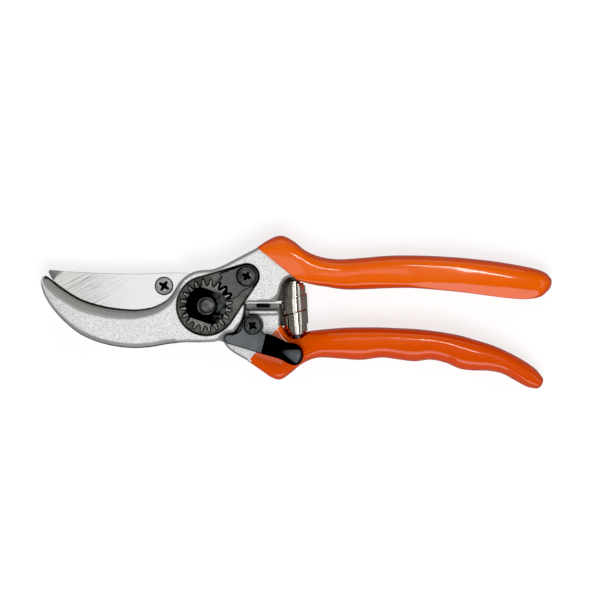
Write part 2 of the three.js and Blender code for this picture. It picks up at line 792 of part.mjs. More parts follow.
// Segment: a plate with a round end under its screw, and four teeth in the disc's gaps
function lockSegment() {
  const pitch = 360 / TEETH;
  const stepsPerTooth = 10;
  const clearance = 0.25;
  const inner = [];
  for (let i = 0; i <= 3 * stepsPerTooth; i++) {
    const wave = Math.cos(((i / stepsPerTooth) - 0.5) * 2 * Math.PI);
    const share = 0.5 + 0.5 * Math.sign(wave) * Math.abs(wave) ** 0.8;
    const root = TOOTH_ROOT_RADIUS + clearance + 0.35;
    const radius = THREE.MathUtils.lerp(root, TOOTH_TIP_RADIUS + clearance, share);
    inner.push(polar(radius, TOOTH_PHASE + (0.5 + i / stepsPerTooth) * pitch));
  }
  const upperTip = polar(SEGMENT_OUTER_RADIUS, TOOTH_PHASE + 3.3 * pitch);
  const lowerTip = polar(SEGMENT_OUTER_RADIUS - 0.9, TOOTH_PHASE + 0.6 * pitch);
  const outline = [
    lowerTip,
    ...arc(SEGMENT_END_RADIUS, -52, 108, 14, SEGMENT_SCREW),
    upperTip,
    ...inner.reverse(),
  ];
  const plate = prism(outline, SEGMENT_BACK, SEGMENT_BACK + SEGMENT_THICKNESS);
  return plate.subtract(cylinder(SCREW_SHANK_RADIUS + 0.15, 0, 30, SEGMENT_SCREW, 24));
}

addPart("pivot_bolt", pivotBolt(), blackSteel);
addPart(
  "pivot_bush",
  cylinder(BUSH_RADIUS, BOLT_HEAD_HEIGHT + GAP + 0.1, CARRIER_FRONT).subtract(
    cylinder(BOLT_RADIUS + 0.1, 0, 20),
  ),
  bronze,
);
addPart("pivot_nut", pivotNut(), blackSteel);
addPart("toothed_disc", toothedDisc(), zincSteel);
addPart("lock_segment", lockSegment(), satinSteel);

// ---------------------------------------------------------------- latch

function latchPlate() {
  const flat = prism(latchPlateOutline, LATCH_BACK, LATCH_BACK + LATCH_THICKNESS);
  // the lever is cranked: its foot is a block as high as the plate and the lever together
  const top = LATCH_BACK + LATCH_LIFT + LATCH_THICKNESS;
  const foot = straight([20.2, -19.1], [22.7, -19.9], [24.6, -11.8], [22.2, -12.2]);
  return flat
    .add(prism(foot, LATCH_BACK, top))
    .add(prism(leverOutline, LATCH_BACK + LATCH_LIFT, top))
    .subtract(cylinder(SCREW_SHANK_RADIUS + 0.15, 0, 30, LATCH_SCREW, 24));
}

function latchSleeve() {
  const back = LATCH_BACK + LATCH_LIFT - SLEEVE_WALL;
  const front = LATCH_BACK + LATCH_LIFT + LATCH_THICKNESS + SLEEVE_WALL;
  const knobMiddle = new THREE.Vector2(36.8, -20.4);
  const outer = prism(sleeveOutline, back, front).add(
    cylinder(4.2, back + 1, front + 2.6, knobMiddle, 32, 3.4),
  );
  const cavity = [];
  leverOutline.forEach((p) => {
    const away = p.clone().sub(new THREE.Vector2(31, -18)).setLength(GAP);
    cavity.push(p.clone().add(away));
  });
  return outer.subtract(prism(cavity, back + SLEEVE_WALL - 0.2, front - SLEEVE_WALL + 0.2));
}

addPart("latch_plate", latchPlate(), satinSteel);
addPart("latch_sleeve", latchSleeve(), blackVinyl);
addPart(
  "latch_spring_washer",
  cylinder(3.8, LATCH_LAND + 0.1, LATCH_LAND + 0.1 + LATCH_WASHER, LATCH_SCREW, 36).subtract(
    cylinder(SCREW_SHANK_RADIUS + 0.2, 0, 30, LATCH_SCREW, 24),
  ),
  polishedSteel,
);

// ---------------------------------------------------------------- spring, pegs and buffer

// Double volute: a flat strip wound widest at the middle, with its coils nesting towards both
// seats. The strip climbs a full strip height in the two middle half-turns, where both cones
// share one radius, and much less where the coils lie inside each other.
function voluteSpring() {
  const stepsPerTurn = 20;
  const steps = Math.round(SPRING_TURNS * stepsPerTurn);
  const half = SPRING_TURNS / 2;
  const free = springLength - STRIP_HEIGHT - 2 * 0.2;
  const climbFast = STRIP_HEIGHT + 0.4;
  const fastTurns = 0.95;
  const climbSlow = (free / 2 - climbFast * fastTurns) / (half - fastTurns);
  const rings = [];
  for (let i = 0; i <= steps; i++) {
    const turn = (i / steps - 0.5) * SPRING_TURNS;
    const size = Math.abs(turn);
    const radius = THREE.MathUtils.lerp(SPRING_RADIUS, SPRING_END_RADIUS, size / half);
    const fast = Math.min(size, fastTurns);
    const climb = Math.sign(turn) * (climbFast * fast + climbSlow * (size - fast));
    const middle = springLength / 2 + climb;
    const angle = turn * 2 * Math.PI;
    const outwards = springSide.clone().multiplyScalar(Math.cos(angle));
    outwards.z = Math.sin(angle);
    const along = middle / springLength;
    const bow = springSide.clone().multiplyScalar(4 * SPRING_BOW * along * (1 - along));
    const at = (r, h) =>
      SPRING_BOTTOM.clone().add(bow).addScaledVector(outwards, r).addScaledVector(springAxis, h);
    rings.push([
      at(radius, middle - STRIP_HEIGHT / 2),
      at(radius, middle + STRIP_HEIGHT / 2),
      at(radius - STRIP_THICKNESS, middle + STRIP_HEIGHT / 2),
      at(radius - STRIP_THICKNESS, middle - STRIP_HEIGHT / 2),
    ]);
  }
  return loft(rings);
}

addPart("volute_spring", voluteSpring(), nickel);
addPart(
  "upper_spring_peg",
  springCylinder(PEG_RADIUS, springLength - PEG_REACH + GAP, springLength + PEG_DEPTH - GAP, 24),
  zincSteel,
);
addPart("lower_spring_peg", springCylinder(PEG_RADIUS, -PEG_DEPTH + GAP, PEG_REACH - GAP, 24), zincSteel);
addPart("stop_buffer", prism(bufferOutline(0), 4.2, 10.6), blackRubber);

// ---------------------------------------------------------------- footprint origin

const bounds = new THREE.Box3().setFromObject(shears);
const middle = bounds.getCenter(new THREE.Vector3());
shears.position.set(-middle.x, -middle.y, -bounds.min.z);

export default shears;
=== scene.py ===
"""Bypass pruning shears, closed and locked, lying on their back on a pale table.

Every piece is modelled in millimetres about the pivot axis, as on a drawing board, and is then
put in the frame at real size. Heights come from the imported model's own nodes.
"""

import json
import math

import bpy
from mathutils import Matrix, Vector

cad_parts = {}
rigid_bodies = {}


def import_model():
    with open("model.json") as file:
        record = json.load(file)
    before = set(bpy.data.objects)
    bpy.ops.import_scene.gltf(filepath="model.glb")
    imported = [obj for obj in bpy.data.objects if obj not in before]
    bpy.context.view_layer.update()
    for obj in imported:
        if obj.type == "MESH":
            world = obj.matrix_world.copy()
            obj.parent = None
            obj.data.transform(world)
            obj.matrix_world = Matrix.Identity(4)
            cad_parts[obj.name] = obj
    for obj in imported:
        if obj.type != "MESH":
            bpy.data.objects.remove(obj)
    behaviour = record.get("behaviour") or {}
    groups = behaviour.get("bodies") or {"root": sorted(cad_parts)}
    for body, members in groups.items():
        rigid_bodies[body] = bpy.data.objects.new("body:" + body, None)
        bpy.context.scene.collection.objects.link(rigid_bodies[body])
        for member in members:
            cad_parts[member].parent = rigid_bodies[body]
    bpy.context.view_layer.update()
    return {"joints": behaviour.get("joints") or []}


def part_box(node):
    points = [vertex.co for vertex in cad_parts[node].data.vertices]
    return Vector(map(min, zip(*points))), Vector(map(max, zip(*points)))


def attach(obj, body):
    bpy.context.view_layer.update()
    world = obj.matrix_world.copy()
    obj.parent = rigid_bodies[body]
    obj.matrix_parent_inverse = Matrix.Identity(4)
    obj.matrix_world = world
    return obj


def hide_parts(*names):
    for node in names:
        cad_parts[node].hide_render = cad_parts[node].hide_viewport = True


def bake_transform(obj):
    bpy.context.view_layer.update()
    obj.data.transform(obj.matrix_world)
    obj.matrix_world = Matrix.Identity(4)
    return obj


bpy.ops.object.select_all(action="SELECT")
bpy.ops.object.delete()
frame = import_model()

# ------------------------------------------------------------------ drawing board

MM = 0.001
LOW, HIGH = 0, 1
JOINTS = {joint["name"]: joint for joint in frame["joints"]}
PIVOT = Vector(JOINTS["handle_open"]["pos_m"])
HOOK_SIDE = JOINTS["handle_open"]["parent"]
BLADE_SIDE = JOINTS["handle_open"]["child"]
LATCH = JOINTS["latch_swing"]["child"]


def level(node, end):
    """Height of a node's back (LOW) or front (HIGH) above the table, in millimetres."""
    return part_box(node)[end].z / MM


def spot(node):
    """A node's middle, seen from the front, in millimetres from the pivot."""
    low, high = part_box(node)
    middle = (low + high) / 2 - PIVOT
    return Vector((middle.x, middle.y)) / MM


GAP = 0.2
FORGING_BACK = level("upper_handle", LOW)
CARRIER_FRONT = level("cutting_blade", LOW) - GAP
BLADE_BACK = level("cutting_blade", LOW)
BLADE_FRONT = level("cutting_blade", HIGH)
HOOK_BACK = BLADE_FRONT + GAP
HOOK_FRONT = level("upper_handle", HIGH)
DISC_BACK = level("toothed_disc", LOW)
DISC_FRONT = level("toothed_disc", HIGH)
POCKET_FLOOR = DISC_BACK - GAP
LATCH_LAND = level("latch_spring_washer", LOW) - 0.1
LEDGE_FRONT = level("stop_buffer", HIGH) - 0.8
KNOB_TOP = level("latch_sleeve", HIGH)
LATCH_BACK = level("latch_plate", LOW)

BLADE_SCREW = spot("blade_screw")
SEGMENT_SCREW = spot("segment_screw")
LATCH_SCREW = spot("latch_screw")
CENTRE = Vector((0, 0))

BOLT_BORE = [(5.15, 0), (5.15, 20)]  # cut right through, round the pivot bolt
SCREW_HOLE = 2.15  # radius of a screw's clearance hole
WEB_FRONT = 2.9  # front of the thin webs that floor the bay under the spring
GRIP_DEPTH = 17.8  # where a grip is thinner than this, its back rises off the table


# ------------------------------------------------------------------ lines on the board


def polar(radius, degrees, centre=CENTRE):
    angle = math.radians(degrees)
    return (centre[0] + radius * math.cos(angle), centre[1] + radius * math.sin(angle))


def arc(radius, start, stop, steps, centre=CENTRE):
    return [polar(radius, start + (stop - start) * i / steps, centre) for i in range(steps + 1)]


def smooth(knots, steps=5):
    """Points on a smooth curve through rows of numbers, both ends included."""
    rows = [knots[0], *knots, knots[-1]]
    points = []
    for a, b, c, d in zip(rows, rows[1:], rows[2:], rows[3:]):
        for i in range(steps):
            t = i / steps
            weights = (
                -0.5 * t + t * t - 0.5 * t**3,
                1 - 2.5 * t * t + 1.5 * t**3,
                0.5 * t + 2 * t * t - 1.5 * t**3,
                0.5 * t**3 - 0.5 * t * t,
            )
            columns = zip(a, b, c, d)
            points.append(tuple(sum(w * v for w, v in zip(weights, column)) for column in columns))
    return [*points, tuple(knots[-1])]


def teardrop(centre, radius, tip, tip_radius, grow=0.0, steps=40):
    """The outline of a belt round two discs."""
    reach = Vector(tip) - Vector(centre)
    towards = math.degrees(math.atan2(reach.y, reach.x))
    spread = math.degrees(math.acos((radius - tip_radius) / reach.length))
    return [
        *arc(radius + grow, towards + spread, towards + 360 - spread, steps, centre),
        *arc(tip_radius + grow, towards - spread, towards + spread, steps // 2, tip),
    ]


def shrunk(points, amount):
    """An outline moved inwards all round."""
    moved = []
    for before, point, after in zip([points[-1], *points], points, [*points[1:], points[0]]):
        along = (Vector(after) - Vector(before)).normalized()
        moved.append((point[0] - along.y * amount, point[1] + along.x * amount))
    return moved


def at_height(points, z):
    return [(x, y, z) for x, y in points]


# ------------------------------------------------------------------ bench work


def use(piece, mode="OBJECT"):
    """Selects one piece alone, in object or edit mode."""
    if bpy.context.object and bpy.context.object.mode != "OBJECT":
        bpy.ops.object.mode_set(mode="OBJECT")
    bpy.ops.object.select_all(action="DESELECT")
    piece.select_set(True)
    bpy.context.view_layer.objects.active = piece
    if mode == "EDIT":
        bpy.ops.object.mode_set(mode="EDIT")
        bpy.ops.mesh.select_mode(type="VERT")


def done(piece):
    bpy.ops.object.mode_set(mode="OBJECT")
    return piece


def added(name):
    piece = bpy.context.object
    piece.name = piece.data.name = name
    return piece


def face_out():
    bpy.ops.mesh.select_all(action="SELECT")
    bpy.ops.mesh.normals_make_consistent(inside=False)


def plate(name, points, back, front):
    """An outline cut from sheet: a disc primitive drawn out to the outline, then extruded."""
    bpy.ops.object.select_all(action="DESELECT")
    bpy.ops.mesh.primitive_circle_add(vertices=len(points), fill_type="NGON")
    piece = added(name)
    for vertex, point in zip(piece.data.vertices, points):
        vertex.co = (point[0], point[1], back)
    use(piece, "EDIT")
    bpy.ops.mesh.select_all(action="SELECT")
    bpy.ops.mesh.extrude_region_move(TRANSFORM_OT_translate={"value": (0, 0, front - back)})
    face_out()
    return done(piece)


def loft(name, rings):
    """A skin over rings of points, all with one count, closed at both ends."""
    bpy.ops.object.select_all(action="DESELECT")
    bpy.ops.mesh.primitive_grid_add(x_subdivisions=len(rings[0]), y_subdivisions=len(rings) - 1)
    piece = added(name)
    points = [point for ring in rings for point in (*ring, ring[0])]
    for vertex, point in zip(piece.data.vertices, points):
        vertex.co = point
    use(piece, "EDIT")
    bpy.ops.mesh.select_all(action="SELECT")
    bpy.ops.mesh.remove_doubles(threshold=0.0005)
    bpy.ops.mesh.fill_holes(sides=0)
    face_out()
    return done(piece)


def turned(name, profile, centre=CENTRE, sides=64):
    """A piece turned on a lathe: a disc at its place, drawn up and resized along a profile
    of (radius, height)."""
    (radius, height), *steps = profile
    place = (centre[0], centre[1], height)
    bpy.ops.object.select_all(action="DESELECT")
    bpy.ops.mesh.primitive_circle_add(
        vertices=sides, radius=radius, fill_type="NGON", location=place
    )
    piece = added(name)
    bpy.ops.object.transform_apply(location=True, rotation=True, scale=True)
    use(piece, "EDIT")
    bpy.ops.mesh.select_all(action="SELECT")
    for next_radius, next_height in steps:
        rise, share = next_height - height, next_radius / radius
        bpy.ops.mesh.extrude_region_move(TRANSFORM_OT_translate={"value": (0, 0, rise)})
        bpy.ops.transform.resize(value=(share, share, 1), center_override=(*place[:2], next_height))
        radius, height = next_radius, next_height
    face_out()
    return done(piece)


def modify(piece, kind, **settings):
    use(piece)
    modifier = piece.modifiers.new(kind.lower(), kind)
    for setting, value in settings.items():
        setattr(modifier, setting, value)
    bpy.ops.object.modifier_apply(modifier=modifier.name)
    return piece


def combine(piece, *others, operation="DIFFERENCE"):
    """Cuts the others out of a piece, or fuses them to it. The others are used up."""
    for other in others:
        modify(
            piece,
            "BOOLEAN",
            operation=operation,
            solver="MANIFOLD",
            material_mode="INDEX",
            object=other,
        )
        bpy.data.objects.remove(other)
    return piece


def gather(piece, *others):
    """Makes several solids one object, each still closed in itself."""
    use(piece)
    for other in others:
        other.select_set(True)
    bpy.ops.object.join()
    return piece


def round_rim(piece, height, radius, share=lambda x, y: 1.0, segments=5):
    """Rounds the edges that lie at one height. share gives the part of the radius at a place."""
    mesh = piece.data
    weights = mesh.attributes.get("bevel_weight_edge")
    if weights is None:
        weights = mesh.attributes.new("bevel_weight_edge", "FLOAT", "EDGE")
    for edge in mesh.edges:
        a, b = (mesh.vertices[v].co for v in edge.vertices)
        flat = abs(a.z - height) < 0.01 and abs(b.z - height) < 0.01
        middle = (a + b) / 2
        weights.data[edge.index].value = share(middle.x, middle.y) if flat else 0.0
    modify(
        piece,
        "BEVEL",
        limit_method="WEIGHT",
        width=radius,
        segments=segments,
        use_clamp_overlap=False,
        loop_slide=False,
    )
    piece.data.attributes.remove(piece.data.attributes["bevel_weight_edge"])
    return piece


def cast(piece, grain=0.35, relax=5):
    """Runs overlapping solids together and softens every edge, as a casting's are."""
    modify(piece, "REMESH", mode="VOXEL", voxel_size=grain, use_smooth_shade=True)
    modify(piece, "SMOOTH", factor=0.5, iterations=relax)
    return piece


def sweep(name, path, profile):
    """Sweeps a profile of (left, up) along a level path of (x, y, z, size)."""
    rings = []
    for i, (x, y, z, size) in enumerate(path):
        before, after = path[max(i - 1, 0)], path[min(i + 1, len(path) - 1)]
        along = Vector((after[0] - before[0], after[1] - before[1])).normalized()
        left = (-along.y, along.x)
        rings.append(
            [(x + left[0] * u * size, y + left[1] * u * size, z + v * size) for u, v in profile]
        )
    return loft(name, rings)


def smooth_shade(piece, degrees=35):
    use(piece)
    bpy.ops.object.shade_smooth_by_angle(angle=math.radians(degrees))
    return piece


def coat(piece, finish):
    """Gives the whole of a piece one finish."""
    piece.data.materials.clear()
    piece.data.materials.append(finish)
    piece.data.polygons.foreach_set("material_index", [0] * len(piece.data.polygons))


def coat_where(piece, finish, test):
    """Gives a second finish to the faces whose middle and normal pass a test."""
    if finish.name not in piece.data.materials:
        piece.data.materials.append(finish)
    slot = piece.data.materials.find(finish.name)
    for face in piece.data.polygons:
        if test(face.center, face.normal):
            face.material_index = slot


def off_front(centre, normal):
    """Walls and chamfers, but not the flat faces."""
    return abs(normal.z) < 0.9


def hand_over(piece, finish, body, slot, *nodes, shade=35):
    """Puts a finished piece in the frame, coats it with its finish unless it has one, hangs it on
    its body and hides the CAD nodes it replaces; the slot is not used.
    """
    if shade:
        smooth_shade(piece, shade)
    use(piece)
    piece.scale = (MM, MM, MM)
    piece.location = (PIVOT.x, PIVOT.y, 0)
    bpy.ops.object.transform_apply(location=True, rotation=True, scale=True)
    if not any(piece.data.materials):
        coat(piece, finish)
    if body:
        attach(piece, body)
    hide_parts(*nodes)
    return piece


# ------------------------------------------------------------------ finishes


class Term:
    """A number that varies over a surface, so that shader maths is written as a sum."""

    def __init__(self, finish, socket):
        self.finish, self.socket = finish, socket

    def __add__(self, other):
        return self.finish.maths("ADD", self, other)

    def __sub__(self, other):
        return self.finish.maths("SUBTRACT", self, other)

    def __rsub__(self, other):
        return self.finish.maths("SUBTRACT", other, self)

    def __mul__(self, other):
        return self.finish.maths("MULTIPLY", self, other)

    __radd__, __rmul__ = __add__, __mul__


class Finish:
    """One surface finish: a material with a Principled shader, and the nodes that vary it."""

    def __init__(self, name, colour, roughness, metallic=0.0, **sockets):
        self.material = bpy.data.materials.new(name)
        self.material.use_nodes = True
        self.tree = self.material.node_tree
        self.shader = self.tree.nodes["Principled BSDF"]
        self.shader.inputs["Base Color"].default_value = (*colour, 1)
        self.shader.inputs["Roughness"].default_value = roughness
        self.shader.inputs["Metallic"].default_value = metallic
        for socket, value in sockets.items():
            self.shader.inputs[socket.replace("_", " ")].default_value = value

    def node(self, kind, settings=None, inputs=None):
        made = self.tree.nodes.new(kind)
        for setting, value in (settings or {}).items():
            if setting == "stops":
                self.set_stops(made.color_ramp, value)
            else:
                setattr(made, setting, value)
        for socket, value in (inputs or {}).items():
            if isinstance(value, Term):
                value = value.socket
            if isinstance(value, bpy.types.NodeSocket):
                self.tree.links.new(value, made.inputs[socket])
            else:
                made.inputs[socket].default_value = value
        return made

    @staticmethod
    def set_stops(ramp, stops):
        while len(ramp.elements) < len(stops):
            ramp.elements.new(0.5)
        for element, (position, colour) in zip(ramp.elements, stops):
            element.position = position
            element.color = (*colour, 1)

    def maths(self, operation, a, b):
        made = self.node("ShaderNodeMath", {"operation": operation}, {0: a, 1: b})
        return Term(self, made.outputs[0])

    def place(self, turn=0.0, stretch=(1, 1, 1)):
        """Object coordinates in millimetres, turned about Z and stretched."""
        source = self.node("ShaderNodeTexCoord").outputs["Object"]
        turned_place = self.node(
            "ShaderNodeMapping",
            {"vector_type": "POINT"},
            {"Vector": source, "Rotation": (0, 0, math.radians(turn))},
        )
        scale = [value / MM for value in stretch]
        mapping = self.node(
            "ShaderNodeVectorMath",
            {"operation": "MULTIPLY"},
            {0: turned_place.outputs["Vector"], 1: scale},
        )
        return mapping.outputs[0]

    def noise(self, place, scale, detail=2.0, rough=0.5):
        inputs = {"Vector": place, "Scale": scale, "Detail": detail, "Roughness": rough}
        return Term(self, self.node("ShaderNodeTexNoise", None, inputs).outputs["Fac"])

    def cells(self, place, scale):
        """A random number for each little cell."""
        made = self.node("ShaderNodeTexVoronoi", None, {"Vector": place, "Scale": scale})
        split = self.node("ShaderNodeSeparateColor", None, {"Color": made.outputs["Color"]})
        return Term(self, split.outputs[0])

    def across(self, value, low, high):
        """0 where the value is low and 1 where it is high, with a smooth step between."""
        inputs = {"Value": value, "From Min": low, "From Max": high}
        made = self.node("ShaderNodeMapRange", {"interpolation_type": "SMOOTHSTEP"}, inputs)
        return Term(self, made.outputs["Result"])

    def facing_front(self):
        """1 where the surface faces straight out of the front, less where it slopes."""
        normal = self.node("ShaderNodeTexCoord").outputs["Normal"]
        return Term(self, self.node("ShaderNodeSeparateXYZ", None, {0: normal}).outputs["Z"])

    def axis(self, place, name):
        return Term(self, self.node("ShaderNodeSeparateXYZ", None, {0: place}).outputs[name])

    def mix(self, share, a, b):
        """A colour between a and b; each is a colour or the output of another mix."""
        made = self.node("ShaderNodeMix", {"data_type": "RGBA"}, {0: share})
        for socket, value in ((6, a), (7, b)):
            if isinstance(value, bpy.types.NodeSocket):
                self.tree.links.new(value, made.inputs[socket])
            else:
                made.inputs[socket].default_value = (*value, 1)
        return made.outputs[2]

    def feed(self, socket, value):
        value = value.socket if isinstance(value, Term) else value
        self.tree.links.new(value, self.shader.inputs[socket])

    def bump(self, height, depth_mm, strength):
        inputs = {"Height": height, "Distance": depth_mm * MM, "Strength": strength}
        made = self.node("ShaderNodeBump", None, inputs)
        self.feed("Normal", made.outputs["Normal"])


def silver_coat():
    """Fine sparkle on the flat faces. The smooth slopes and the stop's groove get a darker grey as
    painted shade, and the hook's left end is darkened as painted shade.
    """
    finish = Finish("silver powder coat", (0.5, 0.5, 0.49), 0.42, 0.12)
    place = finish.place()
    grains = finish.noise(place, 2.0, 1.0, 0.5)
    flakes = finish.cells(place, 2.4)
    clouds = finish.noise(place, 0.1, 2.0)
    height = finish.axis(place, "Z")
    # flat marks the front-facing faces above the stop's groove; the rest gets painted shade
    flat = finish.across(finish.facing_front(), 0.88, 0.987) * finish.across(height, 10.2, 11.4)
    sparkle = finish.across(flakes, 0.6, 1.0) * flat * 0.4
    # Painted shade: the darker grey given to the slopes and to the groove
    shaded_slope_grey = finish.mix(clouds, (0.26, 0.264, 0.25), (0.32, 0.325, 0.31))
    grainy = finish.mix(finish.across(grains, 0.3, 0.7), (0.56, 0.57, 0.56), (0.96, 0.97, 0.96))
    base = finish.mix(flat * 0.9, shaded_slope_grey, grainy)
    # Painted shade: the hook's left end is mixed towards a darker grey
    left_end_shade = finish.across(finish.axis(place, "X"), -82, -110) * 0.4
    base = finish.mix(left_end_shade, base, (0.36, 0.36, 0.34))
    finish.feed("Base Color", finish.mix(sparkle, base, (0.97, 0.98, 0.97)))
    finish.feed("Roughness", 0.3 + 0.14 * grains)
    finish.bump(grains * flat, 0.04, 0.4)
    return finish.material


def machined_floor():
    """Milled metal on the pocket's floor: grey, swirled and a little stained."""
    finish = Finish("machined grey", (0.1, 0.1, 0.09), 0.42, 0.2)
    place = finish.place()
    swirl = finish.noise(finish.place(20, (0.2, 5, 1)), 1.0, 3.0)
    stain = finish.noise(place, 0.3, 3.0)
    tone = finish.mix(finish.across(stain, 0.3, 0.7), (0.11, 0.108, 0.099), (0.195, 0.192, 0.18))
    finish.feed("Base Color", tone)
    finish.feed("Roughness", 0.34 + 0.2 * swirl)
    return finish.material


def blade_steel():
    """Bright ground steel, with slanting scratches that crowd towards the tip."""
    finish = Finish("polished blade steel", (0.9, 0.9, 0.9), 0.2, 1.0)
    place = finish.place()
    near_tip = finish.across(finish.axis(place, "X"), -66, -98)
    strokes = finish.noise(finish.place(-27, (0.06, 2.6, 1)), 1.0, 2.0, 0.7)
    hairs = finish.noise(finish.place(-24, (0.045, 6.0, 1)), 1.0, 2.0, 0.6)
    marks = finish.across(strokes, 0.53, 0.66) * (0.05 + 0.85 * near_tip)
    fine = finish.across(hairs, 0.56, 0.68) * (0.06 + 0.8 * near_tip)
    ground = finish.mix(near_tip, (0.91, 0.91, 0.905), (0.8, 0.8, 0.78))
    worn = finish.mix(marks, ground, (0.46, 0.46, 0.44))
    finish.feed("Base Color", finish.mix(fine, worn, (0.42, 0.42, 0.4)))
    finish.feed("Roughness", 0.22 + 0.14 * marks + 0.1 * fine)
    finish.bump(strokes * near_tip, 0.01, 0.3)
    return finish.material


def orange_vinyl():
    """Thick glossy vinyl, with painted shade: a deeper red on its sloping sides and a darker orange
    towards the lower grip.
    """
    finish = Finish(
        "glossy orange dip",
        (0.86, 0.12, 0.002),
        0.4,
        Coat_Weight=0.85,
        Coat_Roughness=0.07,
        Coat_IOR=1.55,
        Specular_IOR_Level=0.2,
    )
    place = finish.place()
    clouds = finish.noise(place, 0.06, 2.0)
    peel = finish.noise(place, 0.7, 1.0)
    # Painted shade: faces that slope away from the front get a deeper red
    facing = finish.across(finish.facing_front(), 0.35, 1.0)
    # Painted shade: the lower grip gets the darker, shaded copy of the orange
    lower = finish.across(finish.axis(place, "Y"), 2, -20)
    shaded_slope_orange = finish.mix(clouds, (0.66, 0.05, 0.0005), (0.72, 0.062, 0.0005))
    light = finish.mix(clouds, (0.77, 0.1, 0.001), (0.83, 0.13, 0.001))
    shaded = finish.mix(clouds, (0.62, 0.056, 0.0005), (0.68, 0.076, 0.0005))
    finish.feed("Base Color", finish.mix(facing, shaded_slope_orange, finish.mix(lower, light, shaded)))
    finish.feed("Roughness", 0.28 + 0.1 * clouds)
    finish.bump(peel, 0.05, 0.18)
    return finish.material


def plain_metal(name, dark, light, roughness, metallic=0.9, scale=0.8, depth=0.02):
    """Worn metal: two tones in soft patches, and a roughness that follows them."""
    finish = Finish(name, light, roughness, metallic)
    place = finish.place()
    patches = finish.noise(place, scale, 4.0, 0.6)
    fine = finish.noise(place, scale * 6, 2.0)
    finish.feed("Base Color", finish.mix(finish.across(patches, 0.3, 0.7), dark, light))
    finish.feed("Roughness", roughness - 0.08 + 0.16 * fine)
    finish.bump(fine, depth, 0.4)
    return finish.material


def soft_black(name, colour, roughness, coat):
    """Moulded black rubber, with a faint cloudy bloom."""
    finish = Finish(
        name, colour, roughness, Coat_Weight=coat, Coat_Roughness=0.12, Specular_IOR_Level=0.15
    )
    place = finish.place()
    clouds = finish.noise(place, 0.4, 2.0)
    lighter = tuple(2.2 * value for value in colour)
    finish.feed("Base Color", finish.mix(clouds, colour, lighter))
    finish.feed("Roughness", roughness + 0.15 * (clouds - 0.5))
    finish.bump(finish.noise(place, 1.2, 2.0), 0.06, 0.2)
    return finish.material


def black_dip():
    """Black vinyl, glossier on the crest of the knob where the thumb polishes it, with a painted
    grey sheen on the crest's front-facing top.
    """
    dip, painted_sheen = (0.001, 0.0012, 0.0015), (0.085, 0.095, 0.1)
    finish = Finish("black dip", dip, 0.3, Coat_Roughness=0.12, Specular_IOR_Level=0.1)
    place = finish.place()
    clouds = finish.noise(place, 0.4, 2.0)
    crest = finish.across(finish.axis(place, "Z"), KNOB_TOP - 2.6, KNOB_TOP - 0.4)
    # Painted sheen: the knob's front-facing crest is coloured grey
    knob = crest * finish.across(finish.facing_front(), 0.55, 0.95)
    finish.feed("Base Color", finish.mix(knob, dip, painted_sheen))
    finish.feed("Coat Weight", 0.75 * crest)
    finish.feed("Roughness", 0.32 + 0.12 * clouds)
    finish.bump(finish.noise(place, 1.2, 2.0), 0.06, 0.2)
    return finish.material


def nut_black():
    """Black oxide, with a painted grey reflection in patches on the side away from the blade."""
    finish = Finish("black oxide nut", (0.002, 0.002, 0.002), 0.4, Specular_IOR_Level=0.12)
    place = finish.place()
    # Painted reflection: lighter grey patches on the side away from the blade
    painted_sheen = finish.across(finish.axis(place, "X"), -36.5, -30.5)
    patches = finish.across(finish.noise(place, 0.45, 3.0, 0.6), 0.35, 0.65)
    tone = finish.mix(painted_sheen * patches, (0.001, 0.001, 0.0012), (0.075, 0.08, 0.08))
    finish.feed("Base Color", tone)
    finish.feed("Roughness", 0.3 + 0.2 * patches)
    return finish.material


SILVER = silver_coat()
FLOOR_GREY = machined_floor()
BLADE_STEEL = blade_steel()
ORANGE = orange_vinyl()
GEAR_STEEL = plain_metal("gear steel", (0.19, 0.19, 0.18), (0.29, 0.29, 0.275), 0.36, 0.25)
SEGMENT_STEEL = plain_metal(
    "segment steel", (0.078, 0.082, 0.085), (0.106, 0.11, 0.114), 0.32, 0.25, 0.3
)
LATCH_STEEL = plain_metal(
    "latch steel", (0.108, 0.122, 0.128), (0.134, 0.148, 0.155), 0.34, 0.2, 0.25
)
# Near-black: painted shade in recesses and along outlines, and partly blackened cut edges
BLACK_EDGE_AND_SHADE = plain_metal("blackened edge and painted shade", (0.003, 0.003, 0.003), (0.008, 0.008, 0.008), 0.6, 0.0)
# Dark brown: partly bare steel, partly painted shade along the hook's edges
BARE_EDGE_AND_SHADE = plain_metal("bare edge and painted shade", (0.01, 0.007, 0.005), (0.03, 0.022, 0.018), 0.45, 0.3)
BLACK_STEEL = plain_metal(
    "black oxide", (0.002, 0.002, 0.003), (0.02, 0.02, 0.022), 0.24, 0.4, 0.3, 0.05
)
SCREW_BLACK = plain_metal(
    "black screw", (0.04, 0.043, 0.043), (0.13, 0.137, 0.137), 0.28, 0.3, 0.6, 0.04
)
# Lighter grey: partly wear, partly painted sheen
WORN_AND_SHEEN_BLACK = plain_metal(
    "worn bolt end with painted sheen", (0.035, 0.036, 0.036), (0.19, 0.19, 0.19), 0.3, 0.4, 0.5, 0.05
)
NUT_BLACK = nut_black()
SCREW_ZINC = plain_metal("zinc screw", (0.27, 0.272, 0.268), (0.42, 0.425, 0.42), 0.34, 0.3)
ZINC = plain_metal("zinc plate", (0.075, 0.077, 0.077), (0.16, 0.163, 0.163), 0.32, 0.4)
NICKEL = plain_metal("nickel plate", (0.66, 0.61, 0.53), (0.82, 0.78, 0.71), 0.13, 1.0, 0.5, 0.01)
SPRING_STEEL = plain_metal("spring steel", (0.4, 0.4, 0.4), (0.5, 0.5, 0.5), 0.3)
BRONZE = plain_metal("turned bronze", (0.42, 0.25, 0.1), (0.56, 0.36, 0.17), 0.35)
BLACK_DIP = black_dip()
RUBBER = soft_black("black rubber", (0.008, 0.008, 0.008), 0.5, 0.1)

# ------------------------------------------------------------------ upper handle

